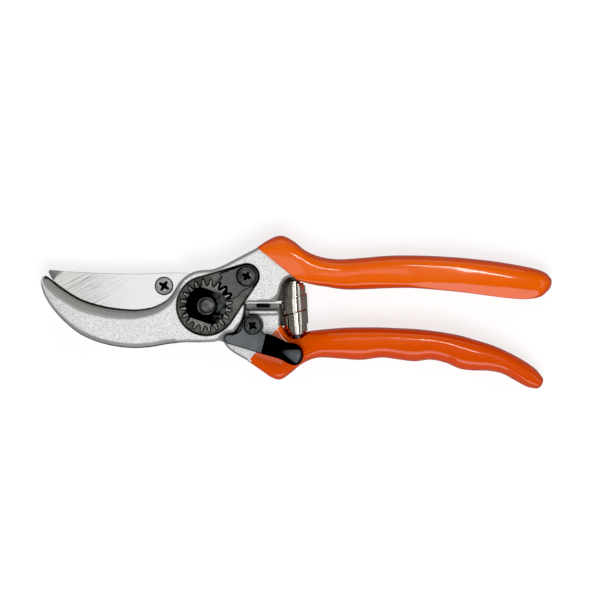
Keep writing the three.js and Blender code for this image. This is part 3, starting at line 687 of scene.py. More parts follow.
HOOK_OUTER = [
    (-68.8, 12.5),
    (-69.6, 9.8),
    (-68.2, 4.6),
    (-64.6, -1.3),
    (-59.1, -7.3),
    (-53.2, -11.9),
    (-46.5, -15.0),
    (-38.8, -17.0),
    (-31.0, -17.8),
    (-23.5, -17.4),
    (-16.7, -16.2),
    (-9.4, -15.4),
    (-2.5, -15.4),
    (2.8, -15.2),
    (5.0, -14.8),
]
LATCH_NOTCH = [(8.0, -11.8), (8.8, -11.3), (11.3, -11.1)]
HOOK_ARC = arc(16.0, -43.5, 2, 16)
STOP_Y = 1.5
UPPER_BAY = [
    (28.4, STOP_Y),
    (29.6, 1.9),
    (30.7, 3.9),
    (31.3, 6.5),
    (31.9, 8.8),
    (33.0, 10.7),
    (34.7, 11.9),
    (36.6, 12.0),
    (38.35, 10.8),
]
UPPER_END = [(39.3, 11.8), (22.5, 25.2)]
UPPER_NECK = [(21.25, 24.4), (14.0, 20.6)]
BOSS_EDGE = [
    (7.5, 17.2),
    (2.7, 15.4),
    (-2.2, 15.0),
    (-5.3, 14.3),
    (-8.5, 12.6),
    (-11.3, 9.8),
]
HOOK_INNER = [
    (-13.1, 7.0),
    (-14.8, 4.4),
    (-17.6, 1.9),
    (-22.4, -0.4),
    (-28.0, -1.4),
    (-33.7, -1.4),
    (-42.2, -0.3),
    (-50.7, 2.0),
    (-56.3, 4.7),
    (-62.0, 8.5),
    (-66.0, 11.6),
]
TIP = [(-67.6, 12.7)]


def front_rounding(x, y):
    """Share of the full rounding that the front edge of the upper forging gets at a place."""
    if 0.647 * x + 0.763 * y > 33.6:
        return 0.0  # the end that goes into the grip
    if x < -10.5 and y > -3 + max(0, -55 - x) * 0.8:
        return 0.0  # the hook's inner edge, which has its ground band
    if x < -50:
        return 0.4 + 0.6 * (x + 69) / 19
    if x < -14:
        return 1.0
    if x > 16.5 and y < 12.2:
        return 1.0  # the stop and the bay round the spring
    return 0.6


def pocket_shape(grow):
    return teardrop(CENTRE, 12.6, SEGMENT_SCREW, 5.4, grow)


def upper_handle():
    front = plate(
        "upper_handle_forging",
        [
            *smooth(HOOK_OUTER),
            *LATCH_NOTCH,
            *HOOK_ARC,
            (17.0, STOP_Y),
            *smooth(UPPER_BAY),
            *UPPER_END,
            *UPPER_NECK,
            *smooth([*BOSS_EDGE, *HOOK_INNER, *TIP]),
        ],
        HOOK_BACK,
        HOOK_FRONT,
    )
    round_rim(front, HOOK_FRONT, 3.0, front_rounding)
    combine(front, ground_band())
    block = plate(
        "upper_block",
        [
            *arc(17.0, 5, 64, 16),
            *reversed(UPPER_NECK),
            *reversed(UPPER_END),
            *reversed(smooth(UPPER_BAY)),
        ],
        FORGING_BACK,
        HOOK_BACK + 2,
    )
    round_rim(block, FORGING_BACK, 1.6)
    web_outline = [(29, 2), (33.6, 2), (34, 9), (38, 12.5), (34, 14)]
    web = plate("bay_floor", web_outline, FORGING_BACK, WEB_FRONT)
    forging = cast(gather(front, block, web), 0.34, 5)
    axis = spring_line()
    combine(
        forging,
        loft(
            "pocket",
            [
                at_height(pocket_shape(-0.45), POCKET_FLOOR - 0.7),
                at_height(pocket_shape(-0.4), POCKET_FLOOR + 0.2),
                at_height(pocket_shape(-0.05), HOOK_FRONT - 0.4),
                at_height(pocket_shape(0.3), HOOK_FRONT),
                at_height(pocket_shape(0.3), HOOK_FRONT + 1),
            ],
        ),
        turned("bore", BOLT_BORE),
        axis.rod("seat", 6.4, axis.length - 7, axis.length + 0.2),
    )
    coat(forging, SILVER)
    # Painted shade: the pocket's wall is near-black, partly dirt
    coat_where(forging, BLACK_EDGE_AND_SHADE, pocket_wall)
    # Painted shade: the hook's inner and outer walls are dark brown
    coat_where(forging, BARE_EDGE_AND_SHADE, bypass_wall)
    coat_where(forging, BARE_EDGE_AND_SHADE, outer_wall)
    floor = plate("pocket_floor", pocket_shape(-0.5), POCKET_FLOOR - 1.2, POCKET_FLOOR)
    round_rim(floor, POCKET_FLOOR, 0.12, segments=2)
    combine(floor, turned("bore", BOLT_BORE))
    coat(floor, FLOOR_GREY)
    smooth_shade(forging, 40)
    smooth_shade(floor)
    gather(forging, floor)
    hand_over(forging, SILVER, HOOK_SIDE, "silver_coat", "upper_handle", shade=0)


def pocket_wall(centre, normal):
    """The pocket's wall, up to the bright rim, painted near-black: partly dirt, mostly painted
    shade.
    """
    if not POCKET_FLOOR - 1 < centre.z < HOOK_FRONT - 0.35 or centre.xy.length < 9:
        return False
    shares = [i / 16 for i in range(17)]
    return any((centre.xy - SEGMENT_SCREW * t).length < 12.9 - 7.2 * t for t in shares)


def bypass_wall(centre, normal):
    """The hook's steep inner wall, where the blade slides past it; painted dark brown, partly the
    bare steel edge and partly painted shade between hook and blade.
    """
    return centre.x < -9 and normal.y > 0.3 and normal.z < 0.45 and centre.y > -3


def outer_wall(centre, normal):
    """The hook's outer wall and the tip's left edge, painted dark as painted shade along the hook's
    lower edge and tip.
    """
    at_tip = centre.x < -67 and normal.z < 0.6
    on_edge = centre.x < -2 and centre.y < 8 and normal.y < -0.2 and normal.z < 0.5
    return at_tip or on_edge


def ground_band():
    """The cutter for the smooth sloping band along the hook's inner edge."""
    widths = [0.8, 1.5, 2.0, 2.4, 2.9, 3.5, 4.0, 4.4, 4.8, 4.9, 4.7, 4.6, 3.7, 2.6]
    line = [BOSS_EDGE[-2], BOSS_EDGE[-1], *HOOK_INNER, *TIP]
    path = [(x, y, HOOK_FRONT, width / 6) for (x, y), width in zip(line, widths)]
    profile = [
        (-2.5, 1.0),
        (-2.5, -11.0),
        (0.0, -11.0),
        (0.0, -7.0),
        (1.05, -4.0),
        (2.4, -2.2),
        (4.2, -0.9),
        (6.0, -0.1),
        (6.6, 1.0),
    ]
    return sweep("band_cutter", smooth(path, 4), profile)


# ------------------------------------------------------------------ spring line


SEAT = [(1.6, -1.3), (3.4, -0.9), (4.8, -0.1), (5.7, 1.2), (6.1, 2.6), (6.2, 4.5), (6.2, 7.0)]


class Line:
    """The spring's axis, from its lower seat to its upper one."""

    def __init__(self, foot, head):
        self.foot, self.head = foot, head
        self.along = (head - foot).normalized()
        self.length = (head - foot).length
        self.side = Vector((0, 0, 1)).cross(self.along).normalized()

    def point(self, radius, degrees, height):
        angle = math.radians(degrees)
        out = self.side * math.cos(angle) + Vector((0, 0, 1)) * math.sin(angle)
        return tuple(self.foot + out * radius + self.along * height)

    def turned(self, name, profile, sides=48):
        rings = []
        for radius, height in profile:
            rings.append([self.point(radius, 360 * i / sides, height) for i in range(sides)])
        return loft(name, rings)

    def rod(self, name, radius, start, stop):
        return self.turned(name, [(radius, start), (radius, stop)])


def spring_line():
    """Worked out from the two pegs, which lie on the axis and are equally long."""
    (a, b), (c, d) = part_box("lower_spring_peg"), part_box("upper_spring_peg")
    lower, upper = ((a + b) / 2 - PIVOT) / MM, ((c + d) / 2 - PIVOT) / MM
    height = ((a + b) / 2).z / MM
    lower.z = upper.z = height
    along = (upper - lower).normalized()
    return Line(lower + along * 0.5, upper - along * 0.5)


# ------------------------------------------------------------------ lower handle

LOWER_EDGE = [(7.2, -15.4), (9.6, -18.4), (13.6, -21.1), (17.4, -23.2)]
LOWER_END = [(18.6, -24.2), (32.0, -9.2)]
LOWER_BACK_EDGE = [(31.1, -8.0), (31.1, -6.0), (30.9, -2.5), (30.9, STOP_Y - 0.5)]
LOWER_RIM = [*smooth(LOWER_EDGE), *LOWER_END, *LOWER_BACK_EDGE]


def lower_handle():
    carrier = plate(
        "lower_handle_forging",
        [
            *arc(14.8, 4, 112, 30),
            *arc(5.4, 92, 225, 16, BLADE_SCREW),
            *arc(14.8, 196, 284, 24),
            *LOWER_RIM,
            (15.4, STOP_Y - 0.5),
        ],
        FORGING_BACK,
        CARRIER_FRONT,
    )
    round_rim(carrier, FORGING_BACK, 1.2, lambda x, y: 0.0 if x - y > 42 else 1.0)
    body_outline = [*LOWER_RIM, (17.2, STOP_Y - 0.5), *arc(16.5, 3, -64, 24)]
    body = plate("body", body_outline, FORGING_BACK + 2, LATCH_LAND)
    combine(body, plate("ledge", [(0, -1.9), (40, -1.9), (40, 20), (0, 20)], LEDGE_FRONT, 30))
    round_rim(body, LATCH_LAND, 1.4, lambda x, y: 0.0 if x - y > 41 or y > -2.5 else 1.0)
    web_outline = [(30, -9), (33.4, -8.4), (33.4, STOP_Y - 0.6), (30, STOP_Y - 0.6)]
    web = plate("bay_floor", web_outline, FORGING_BACK, WEB_FRONT)
    ridge = [(17.6, 0.5), (18.3, 0.9), (20, 1.0), (25, 1.0), (28.6, 1.0), (29.8, 0.9), (30.4, 0.5)]
    bead = sweep(
        "ridge",
        [(x, -2.75, LATCH_LAND - 0.05, size) for x, size in smooth(ridge, 4)],
        [polar(1.1, 30 * i) for i in range(12)],
    )
    forging = cast(gather(carrier, body, bead, web), 0.32, 4)
    axis = spring_line()
    combine(
        forging,
        turned("bore", [(6.55, 0), (6.55, CARRIER_FRONT + 1)]),
        turned("counterbore", [(8.9, 0), (8.9, 2.7), (8.7, 2.8)]),
        turned("screw_hole", [(SCREW_HOLE, 0), (SCREW_HOLE, 20)], BLADE_SCREW),
        turned("nut_seat", [(3.7, 0), (3.7, FORGING_BACK + 2.2)], BLADE_SCREW),
        turned("latch_hole", [(SCREW_HOLE, 4), (SCREW_HOLE, 20)], LATCH_SCREW),
        axis.turned("seat", [(r + 0.6, h - 0.5) for r, h in SEAT]),
        plate("buffer_seat", buffer_shape(0.12), 4, 14),
    )
    hand_over(forging, SILVER, BLADE_SIDE, "silver_coat", "lower_handle", shade=40)


# ------------------------------------------------------------------ grips

UPPER_RIBS = [
    # upper edge, lower edge, front, fullness above and below the crest, place of the crest,
    # width of the facet along the lower edge, as a share of the half width
    (21.3, 24.5, 38.6, 10.6, 18.2, 9, 9, 0.0, 0),
    (26.6, 28.0, 41.0, 10.0, 18.2, 4.0, 8, -0.1, 0),
    (31.6, 29.6, 44.0, 9.2, 18.2, 3.0, 6, -0.1, 0),
    (36.6, 27.4, 47.0, 8.6, 18.1, 2.9, 5, -0.05, 0),
    (42.0, 23.2, 50.5, 8.1, 18.0, 2.8, 4, 0.0, 0),
    (48.4, 20.6, 54.5, 7.4, 17.9, 2.8, 3.6, 0.05, 0),
    (56.0, 19.6, 60.0, 6.9, 17.8, 2.7, 3.2, 0.1, 0),
    (66.0, 20.2, 68.0, 7.1, 17.8, 2.7, 2.9, 0.15, 0),
    (77.0, 21.1, 77.0, 7.5, 17.8, 2.7, 3.6, 0.2, 0.28),
    (88.0, 21.2, 87.0, 7.6, 17.8, 2.6, 4.6, 0.25, 0.44),
    (99.0, 20.8, 97.5, 6.8, 17.6, 2.6, 5.2, 0.28, 0.56),
    (110.0, 20.0, 108.0, 5.8, 17.4, 2.5, 5.5, 0.3, 0.64),
    (121.0, 18.8, 118.0, 4.5, 17.0, 2.4, 5.5, 0.3, 0.76),
    (131.0, 17.2, 127.5, 3.3, 16.4, 2.3, 5.0, 0.28, 0.84),
    (138.8, 15.6, 135.5, 2.9, 15.6, 2.2, 4.2, 0.2, 0.8),
    (143.3, 13.9, 141.2, 3.9, 14.4, 2.2, 3.0, 0.1, 0.5),
    (145.3, 11.9, 144.4, 6.4, 12.6, 2.2, 2.2, 0.0, 0.15),
]
LOWER_RIBS = [
    (31.3, -7.9, 17.5, -23.3, 12.7, 9, 9, 0.0, 0),
    (33.6, -11.4, 22.6, -26.9, 12.7, 7, 6, 0.05, 0),
    (36.4, -13.2, 27.6, -30.3, 12.8, 5, 3.6, 0.1, 0),
    (39.4, -12.4, 31.4, -31.1, 13.4, 4, 2.8, 0.15, 0),
    (42.6, -11.0, 35.6, -28.4, 14.2, 3.2, 2.5, 0.2, 0),
    (47.0, -10.3, 40.5, -24.4, 15.2, 2.6, 2.4, 0.25, 0),
    (52.1, -9.8, 47.0, -21.9, 16.6, 2.4, 2.3, 0.28, 0),
    (59.0, -9.3, 56.0, -22.2, 17.7, 2.3, 2.2, 0.3, 0),
    (66.0, -9.2, 65.0, -22.8, 17.8, 2.3, 2.1, 0.3, 0),
    (73.0, -9.2, 74.0, -21.8, 17.8, 2.3, 2.1, 0.3, 0),
    (80.0, -9.5, 81.0, -22.6, 17.8, 2.3, 2.1, 0.3, 0),
    (87.0, -9.8, 88.0, -23.4, 17.8, 2.3, 2.1, 0.3, 0),
    (93.5, -10.4, 94.6, -22.7, 17.6, 2.3, 2.1, 0.3, 0),
    (100.0, -11.3, 101.0, -24.0, 17.4, 2.3, 2.1, 0.3, 0),
    (107.0, -12.6, 107.0, -26.5, 17.2, 2.3, 2.1, 0.28, 0),
    (114.0, -14.6, 113.0, -27.3, 16.8, 2.3, 2.1, 0.25, 0),
    (121.0, -16.8, 119.0, -27.4, 16.2, 2.3, 2.1, 0.22, 0),
    (128.0, -19.9, 125.0, -28.6, 15.6, 2.3, 2.1, 0.18, 0),
    (134.0, -23.2, 130.5, -31.5, 14.8, 2.3, 2.1, 0.12, 0),
    (139.1, -26.8, 135.6, -34.2, 13.8, 2.2, 2.1, 0.06, 0),
    (142.2, -30.6, 139.6, -35.0, 12.6, 2.2, 2.2, 0.0, 0),
]
RIB_STEPS = 5
RIB_SIDES = 56


def section(rib, grow, rear):
    """One ring of a grip, across the line from its upper to its lower edge."""
    top, bottom = Vector((*rib[0:2], 0)), Vector((*rib[2:4], 0))
    front, above, below, crest, facet = rib[4:9]
    back = max(0.0, GRIP_DEPTH - front) * 0.45 if rear else 0.0
    middle, across = (top + bottom) / 2, (top - bottom)
    half_width, half_depth = across.length / 2 + grow, (front - back) / 2 + min(grow, 0)
    across.normalize()
    ring = []
    for i in range(RIB_SIDES):
        angle = 2 * math.pi * (i + 0.5) / RIB_SIDES
        c, s = math.cos(angle), math.sin(angle)
        power = (above if c > 0 else below) if s > 0 else max(above, 2.6)
        ridge = crest if s > 0 else 0.0
        reach = 1 - ridge if c > 0 else 1 + ridge
        u = ridge + math.copysign(reach * abs(c) ** (2 / power), c)
        v = min(math.copysign(abs(s) ** (2 / power), s), 1 + 0.6 * (1 + u - facet))
        point = middle + across * (half_width * u)
        ring.append((point.x, point.y, (front + back) / 2 + half_depth * v))
    return ring


def grip(name, ribs):
    """A dipped grip: a rounded lip over the forging, smooth ribs, and a blunt rounded end."""
    rows = smooth(ribs, RIB_STEPS)
    half = len(rows) // 2
    rings = [section(row, 0.1, i > half) for i, row in enumerate(rows)]
    start, after = Vector(rings[0][0]), Vector(rings[1][0])
    step = (after - start).normalized()
    step.z = 0
    lip_rings = []
    for inset, back in ((-0.75, 0.0), (-0.3, 0.05), (0.0, 0.2)):
        lip = section(rows[0], inset, False)
        lip_rings.append([tuple(Vector(point) + step * back) for point in lip])
    body = [[tuple(Vector(point) + step * 0.45) for point in rings[0]], *rings[1:]]
    middle = sum((Vector(point) for point in rings[-1]), Vector()) / RIB_SIDES
    onward = (middle - sum((Vector(p) for p in rings[-2]), Vector()) / RIB_SIDES).normalized()
    end = []
    for share, reach in ((0.86, 0.45), (0.62, 0.85), (0.3, 1.1)):
        end.append([tuple(middle.lerp(Vector(p), share) + onward * reach) for p in rings[-1]])
    return loft(name, [*lip_rings, *body, *end])


def grips():
    axis = spring_line()
    upper = grip("upper_grip_dip", UPPER_RIBS)
    combine(upper, axis.rod("seat", 6.4, axis.length - 7, axis.length + 0.2))
    hand_over(upper, ORANGE, HOOK_SIDE, "orange_vinyl", "upper_grip", shade=50)
    lower = grip("lower_grip_dip", LOWER_RIBS)
    bed = plate("bed", [(30.8, -8.8), (34.5, -9.4), (41, -11.4), (42, -19), (30, -18)], 0.3, 3.4)
    combine(lower, bed, operation="UNION")
    combine(lower, axis.turned("seat", SEAT))
    hand_over(lower, ORANGE, BLADE_SIDE, "orange_vinyl", "lower_grip", shade=50)


# ------------------------------------------------------------------ blade

CUTTING_EDGE = [
    (-67.0, 14.5),
    (-65.6, 11.9),
    (-62.4, 7.9),
    (-57.0, 3.0),
    (-50.0, -1.0),
    (-42.0, -3.7),
    (-34.0, -4.7),
    (-26.0, -4.2),
    (-20.0, -3.6),
    (-13.0, -4.6),
]
SPINE = [
    (-5.0, 13.7),
    (-15.5, 14.0),
    (-28.2, 13.5),
    (-41.1, 13.7),
    (-55.4, 14.3),
    (-62.0, 14.8),
    (-66.2, 15.2),
]


def blade():
    piece = plate(
        "ground_blade",
        [*smooth(CUTTING_EDGE), *arc(13.4, 205, 448, 60), *smooth(SPINE)],
        BLADE_BACK,
        BLADE_FRONT,
    )
    round_rim(piece, BLADE_FRONT, 0.15, segments=2)
    edge = [(x, y, BLADE_BACK, 1.0) for x, y in CUTTING_EDGE[1:9]]
    bevel_path = smooth([(-68.2, 17.0, BLADE_BACK, 0.55), *edge], 4)
    bevel = [(-2, -0.5), (8.5, -0.5), (8.5, 0.0), (0, 2.75), (-2, 2.75)]
    combine(
        piece,
        sweep("bevel_cutter", bevel_path, bevel),
        tip_facet(),
        turned("bore", BOLT_BORE),
        turned(
            "countersink",
            [
                (2.1, 0),
                (2.1, BLADE_FRONT - 1.9),
                (3.95, BLADE_FRONT - 0.02),
                (4.05, BLADE_FRONT + 1),
            ],
            BLADE_SCREW,
        ),
    )
    coat(piece, BLADE_STEEL)
    # Painted shade: tilted faces near the point get the darker gear steel
    coat_where(piece, GEAR_STEEL, lambda c, n: c.x < -60 and 0.5 < n.z < 0.99)
    hand_over(piece, BLADE_STEEL, BLADE_SIDE, "blade_steel", "cutting_blade", shade=20)


def tip_facet():
    """The cutter for the small slanting facet that thins the blade's point."""
    start, stop = Vector((-60.6, 17.5)), Vector((-65.4, 10.4))
    outwards = Vector((-(stop - start).y, (stop - start).x)).normalized() * -9
    corners = []
    for along in (start, stop):
        corners.append(((*along, BLADE_FRONT), (*(along + outwards), BLADE_FRONT - 2.6)))
    (a, b), (c, d) = corners
    above = Vector((0, 0, 3))
    ring_one = [a, b, tuple(Vector(b) + above), tuple(Vector(a) + above)]
    ring_two = [c, d, tuple(Vector(d) + above), tuple(Vector(c) + above)]
    return loft("facet_cutter", [ring_one, ring_two])


# ------------------------------------------------------------------ screws and pivot


def cross_recess(centre, height, turn, reach=2.2, depth=1.8):
    """A tapered cross, with flared arms, to press into a screw's head."""

    def cross(size, z):
        arm, width = reach * size, 0.6 * size
        points = []
        for quarter in range(4):
            for x, y in ((arm, -width * 0.8), (arm, width * 0.8), (width * 1.35, width * 1.35)):
                radius, angle = math.hypot(x, y), math.degrees(math.atan2(y, x))
                points.append((*polar(radius, angle + 90 * quarter + turn, centre), z))
        return points

    rings = [cross(0.55, height - depth), cross(0.95, height - 0.15), cross(1.1, height + 1.5)]
    return loft("recess", rings)


def recess_faces(centre, top):
    """The faces inside a cross recess."""

    def test(middle, normal):
        return (middle.xy - centre).length < 2.6 and top - 1.8 < middle.z < top

    return test


def pan_screw(name, node, body, turn, radius):
    """A screw with a domed head, a chamfered rim and a cross recess."""
    centre, top, foot = spot(node), level(node, HIGH), level(node, LOW)
    under = top - 2.3
    dome = []
    for angle in (0.1, 0.3, 0.55, 0.85, 1.15):
        dome.append((radius * math.cos(angle), under + 0.8 + 1.5 * math.sin(angle)))
    profile = [
        (1.9, foot),
        (2.0, foot + 0.3),
        (2.0, under),
        (radius - 0.15, under),
        (radius, under + 0.15),
        *dome,
    ]
    piece = turned(name, profile, centre)
    combine(piece, cross_recess(centre, top - 0.15, turn, reach=1.95))
    coat(piece, SCREW_BLACK)
    # Painted shade: the cross recess and the rim of the head are near-black
    coat_where(piece, BLACK_EDGE_AND_SHADE, recess_faces(centre, top - 0.35))
    coat_where(piece, BLACK_EDGE_AND_SHADE, lambda c, n: (c.xy - centre).length > radius - 0.7)
    hand_over(piece, SCREW_BLACK, body, "black_steel", node)


def countersunk_screw():
    """A flat head, sunk flush with the blade, with a cross recess."""
    radius, top, foot = 3.72, BLADE_FRONT, level("blade_screw", LOW)
    profile = [
        (1.9, foot),
        (2.0, foot + 0.3),
        (2.0, top - 1.9),
        (radius - 0.12, top - 0.12),
        (radius - 0.12, top - 0.06),
        (radius - 0.25, top),
        (1.0, top + 0.02),
    ]
    piece = turned("blade_screw_steel", profile, BLADE_SCREW)
    combine(piece, cross_recess(BLADE_SCREW, top, 56, reach=2.5))
    coat(piece, SCREW_ZINC)
    # Painted shade: the cross recess and the ring round the head are near-black
    coat_where(piece, BLACK_EDGE_AND_SHADE, recess_faces(BLADE_SCREW, top - 0.1))
    coat_where(piece, BLACK_EDGE_AND_SHADE, lambda c, n: c.z > top - 1.8 and (c.xy - BLADE_SCREW).length > 3.4)
    hand_over(piece, SCREW_ZINC, BLADE_SIDE, "zinc_steel", "blade_screw")


def blade_nut():
    back, front = level("blade_screw_nut", LOW), level("blade_screw_nut", HIGH)
    corners = arc(3.45 / math.cos(math.pi / 6), 0, 300, 5, BLADE_SCREW)
    piece = plate("blade_nut", corners, back, front)
    round_rim(piece, back, 0.3, segments=3)
    hole = [(2.7, back - 1), (2.1, back + 0.4), (2.1, front + 1)]
    combine(piece, turned("hole", hole, BLADE_SCREW))
    hand_over(piece, ZINC, BLADE_SIDE, "zinc_steel", "blade_screw_nut")


def pivot_bolt():
    """The bolt, with its worn end seen in the nut: a chamfered ring round a flat a little off its
    middle.
    End and ring are a lighter grey, partly wear and partly painted sheen."""
    top = level("pivot_bolt", HIGH)
    head = 2.4
    profile = [
        (1.2, 0.35),
        (5.4, 0.35),
        (5.7, 0.0),
        (7.5, 0.0),
        (8.1, 0.25),
        (8.4, 0.8),
        (8.4, head),
        (5.0, head),
        (5.0, POCKET_FLOOR - 0.3),
        (3.9, POCKET_FLOOR),
        (3.9, top - 0.45),
        (3.6, top - 0.1),
        (3.35, top - 0.1),
        (3.2, top - 0.6),
    ]
    piece = turned("pivot_bolt_turned", profile, sides=72)
    end = [(2.6, top - 1.2), (2.6, top - 0.25), (2.3, top - 0.02)]
    worn = turned("worn_end", end, (0.62, 0.05))
    coat(piece, BLACK_STEEL)
    coat(worn, WORN_AND_SHEEN_BLACK)
    gather(piece, worn)
    # Painted sheen: the chamfer's ring is lighter grey, partly wear
    coat_where(
        piece,
        WORN_AND_SHEEN_BLACK,
        lambda c, n: n.z > 0.5 and 3.3 < c.xy.length < 3.95 and c.z > top - 1,
    )
    hand_over(piece, BLACK_STEEL, HOOK_SIDE, "black_steel", "pivot_bolt")


NUT_TURN = -19  # degrees from the long axis to the middle of the nut's round side


def two_flats(radius, flats, turn, steps=14):
    """A round outline cut by two flats."""
    half = math.degrees(math.asin(flats / 2 / radius))
    return [
        *arc(radius, turn - half, turn + half, steps),
        *arc(radius, turn + 180 - half, turn + 180 + half, steps),
    ]


def pivot_nut():
    back, top = level("pivot_nut", LOW), level("pivot_nut", HIGH)
    piece = plate("pivot_nut_black", two_flats(8.45, 13.5, NUT_TURN), back, top)
    round_rim(piece, top, 0.55, segments=4)
    hole = [
        (4.02, back - 1),
        (4.02, top - 1.0),
        (4.3, top - 0.35),
        (4.75, top + 0.05),
        (5.0, top + 1),
    ]
    combine(piece, turned("hole", hole))
    hand_over(piece, NUT_BLACK, HOOK_SIDE, "black_steel", "pivot_nut")


TEETH = 20
PITCH = 360 / TEETH
PHASE = 7  # degrees from the long axis to the first tooth
TOOTH_STEPS = 18


def tooth_wave(position, root, tip, sharp):
    """Radius at a position counted in teeth: round tips and narrow rounded gaps."""
    wave = math.cos(2 * math.pi * position)
    share = 0.5 + 0.5 * math.copysign(abs(wave) ** sharp, wave)
    return root + (tip - root) * share


def stamping(name, outline, back, front, edge, finish):
    """A flat stamping whose edge slopes a little and is near-black, partly its own oxide and partly
    painted shade, so that it frames the bright face.
    """
    walls = [at_height(outline, back), at_height(outline, front - 0.7)]
    piece = loft(name, [*walls, at_height(shrunk(outline, edge), front)])
    coat(piece, finish)
    # Painted shade: the walls and chamfer are near-black
    coat_where(piece, BLACK_EDGE_AND_SHADE, off_front)
    return piece


def toothed_disc():
    outline = []
    for i in range(TEETH * TOOTH_STEPS):
        radius = tooth_wave(i / TOOTH_STEPS, 8.7, 11.35, 0.5)
        outline.append(polar(radius, PHASE + i / TOOTH_STEPS * PITCH))
    piece = stamping("toothed_disc_steel", outline, DISC_BACK, DISC_FRONT, 0.42, GEAR_STEEL)
    combine(piece, plate("seat", two_flats(8.5, 13.6, NUT_TURN), DISC_BACK - 1, DISC_FRONT + 1))
    hand_over(piece, GEAR_STEEL, HOOK_SIDE, "grey_steel", "toothed_disc")


def lock_segment():
    """The segment that meshes with the disc, over two and a half of its teeth."""
    inner = []
    for i in range(int(2.5 * TOOTH_STEPS) + 1):
        radius = tooth_wave(i / TOOTH_STEPS - 0.5, 9.3, 11.75, 0.7)
        inner.append(polar(radius, PHASE + (0.5 + i / TOOTH_STEPS) * PITCH))
    outline = [
        polar(11.1, 15.2),
        (11.9, 2.9),
        (12.6, 3.7),
        (13.4, 3.6),
        (13.9, 4.7),
        (14.9, 5.9),
        *arc(5.0, -58, 112, 24, SEGMENT_SCREW),
        (11.4, 15.6),
        (9.6, 15.2),
        (8.9, 14.5),
        (7.6, 14.4),
        (6.1, 13.6),
        (5.7, 12.9),
        (6.6, 12.3),
        (6.3, 11.4),
        polar(12.3, 64.5),
        *reversed(inner),
    ]
    piece = stamping(
        "lock_segment_steel", outline, DISC_BACK, DISC_FRONT - 0.1, 0.34, SEGMENT_STEEL
    )
    combine(piece, turned("hole", [(SCREW_HOLE, 0), (SCREW_HOLE, 30)], SEGMENT_SCREW))
    hand_over(piece, SEGMENT_STEEL, HOOK_SIDE, "grey_steel", "lock_segment")


def bush():
    back, front = level("pivot_bush", LOW), level("pivot_bush", HIGH)
    profile = [(6.2, back), (6.4, back + 0.3), (6.4, front - 0.3), (6.2, front)]
    piece = turned("bush_bronze", profile)
    combine(piece, turned("hole", [(5.4, back - 0.5), (5.1, back + 0.3), (5.1, front + 1)]))
    hand_over(piece, BRONZE, BLADE_SIDE, "bronze", "pivot_bush")


# ------------------------------------------------------------------ latch

LATCH_PLATE_FRONT = LATCH_BACK + 2.2
LEVER_LIFT = level("latch_plate", HIGH) - LATCH_PLATE_FRONT
LATCH_NOSE = [(8.4, -12.3), (7.7, -13.0), (7.7, -14.4), (8.7, -15.9)]
LATCH_SHOULDER = [
    (15.1, -8.6),
    (14.5, -10.0),
    (13.3, -11.1),
    (11.4, -12.0),
    (9.6, -12.0),
    (8.4, -12.3),
]
LEVER = [
    (22.2, -19.9),
    (28.0, -20.6),
    (33.0, -22.2),
    (37.4, -23.4),
    (39.4, -20.8),
    (37.6, -17.6),
    (33.0, -16.1),
    (28.0, -13.6),
    (24.8, -11.9),
]


CRANK_START = (20.6, -16.5)
CRANK_WAY = (0.97, -0.24)  # along the lever, towards the knob
CRANK_RUN = 9.5
CRANK_STRIPS = 15
STRIP_WIDTH = 0.7


def crank(x, y):
    """How far the lever has risen at a place: none at the plate, all of it over the grip."""
    right, up = x - CRANK_START[0], y - CRANK_START[1]
    along = (right * CRANK_WAY[0] + up * CRANK_WAY[1]) / CRANK_RUN
    share = min(1.0, max(0.0, along))
    return LEVER_LIFT * share * share * (3 - 2 * share)


def raise_lever(piece):
    """Cuts the piece across in strips and lifts them, one by one, to crank it upwards."""
    use(piece, "EDIT")
    for i in range(CRANK_STRIPS):
        bpy.ops.mesh.select_all(action="SELECT")
        cut = (CRANK_START[0] + STRIP_WIDTH * i, CRANK_START[1], 0)
        bpy.ops.mesh.bisect(plane_co=cut, plane_no=(*CRANK_WAY, 0))
    done(piece)
    for vertex in piece.data.vertices:
        vertex.co.z += crank(vertex.co.x, vertex.co.y)
    return piece


def latch_plate():
    outline = [
        *smooth(LATCH_NOSE),
        (14.0, -17.4),
        *smooth(LEVER),
        *arc(4.6, -36, 176, 26, LATCH_SCREW),
        *smooth(LATCH_SHOULDER)[:-1],
    ]
    piece = stamping("latch_plate_steel", outline, LATCH_BACK, LATCH_PLATE_FRONT, 0.42, LATCH_STEEL)
    combine(piece, turned("hole", [(SCREW_HOLE, 0), (SCREW_HOLE, 30)], LATCH_SCREW))
    raise_lever(piece)
    hand_over(piece, LATCH_STEEL, LATCH, "grey_steel", "latch_plate")


SLEEVE = [
    (25.1, -11.4),
    (29.1, -12.9),
    (32.2, -14.5),
    (35.0, -15.5),
    (37.6, -15.9),
    (40.0, -17.6),
    (41.0, -20.6),
    (40.0, -23.6),
    (37.4, -25.1),
    (34.6, -24.3),
    (31.4, -22.6),
    (28.0, -21.5),
    (23.0, -20.2),
]
KNOB = [
    # share of the way along, half width, share of the full height
    (0.0, 0.5, 0.0),
    (0.1, 1.0, 0.16),
    (0.25, 1.8, 0.4),
    (0.4, 2.6, 0.62),
    (0.55, 3.2, 0.8),
    (0.7, 3.8, 0.94),
    (0.8, 4.0, 1.0),
    (0.88, 3.8, 0.97),
    (0.95, 3.0, 0.75),
    (1.0, 1.6, 0.3),
]


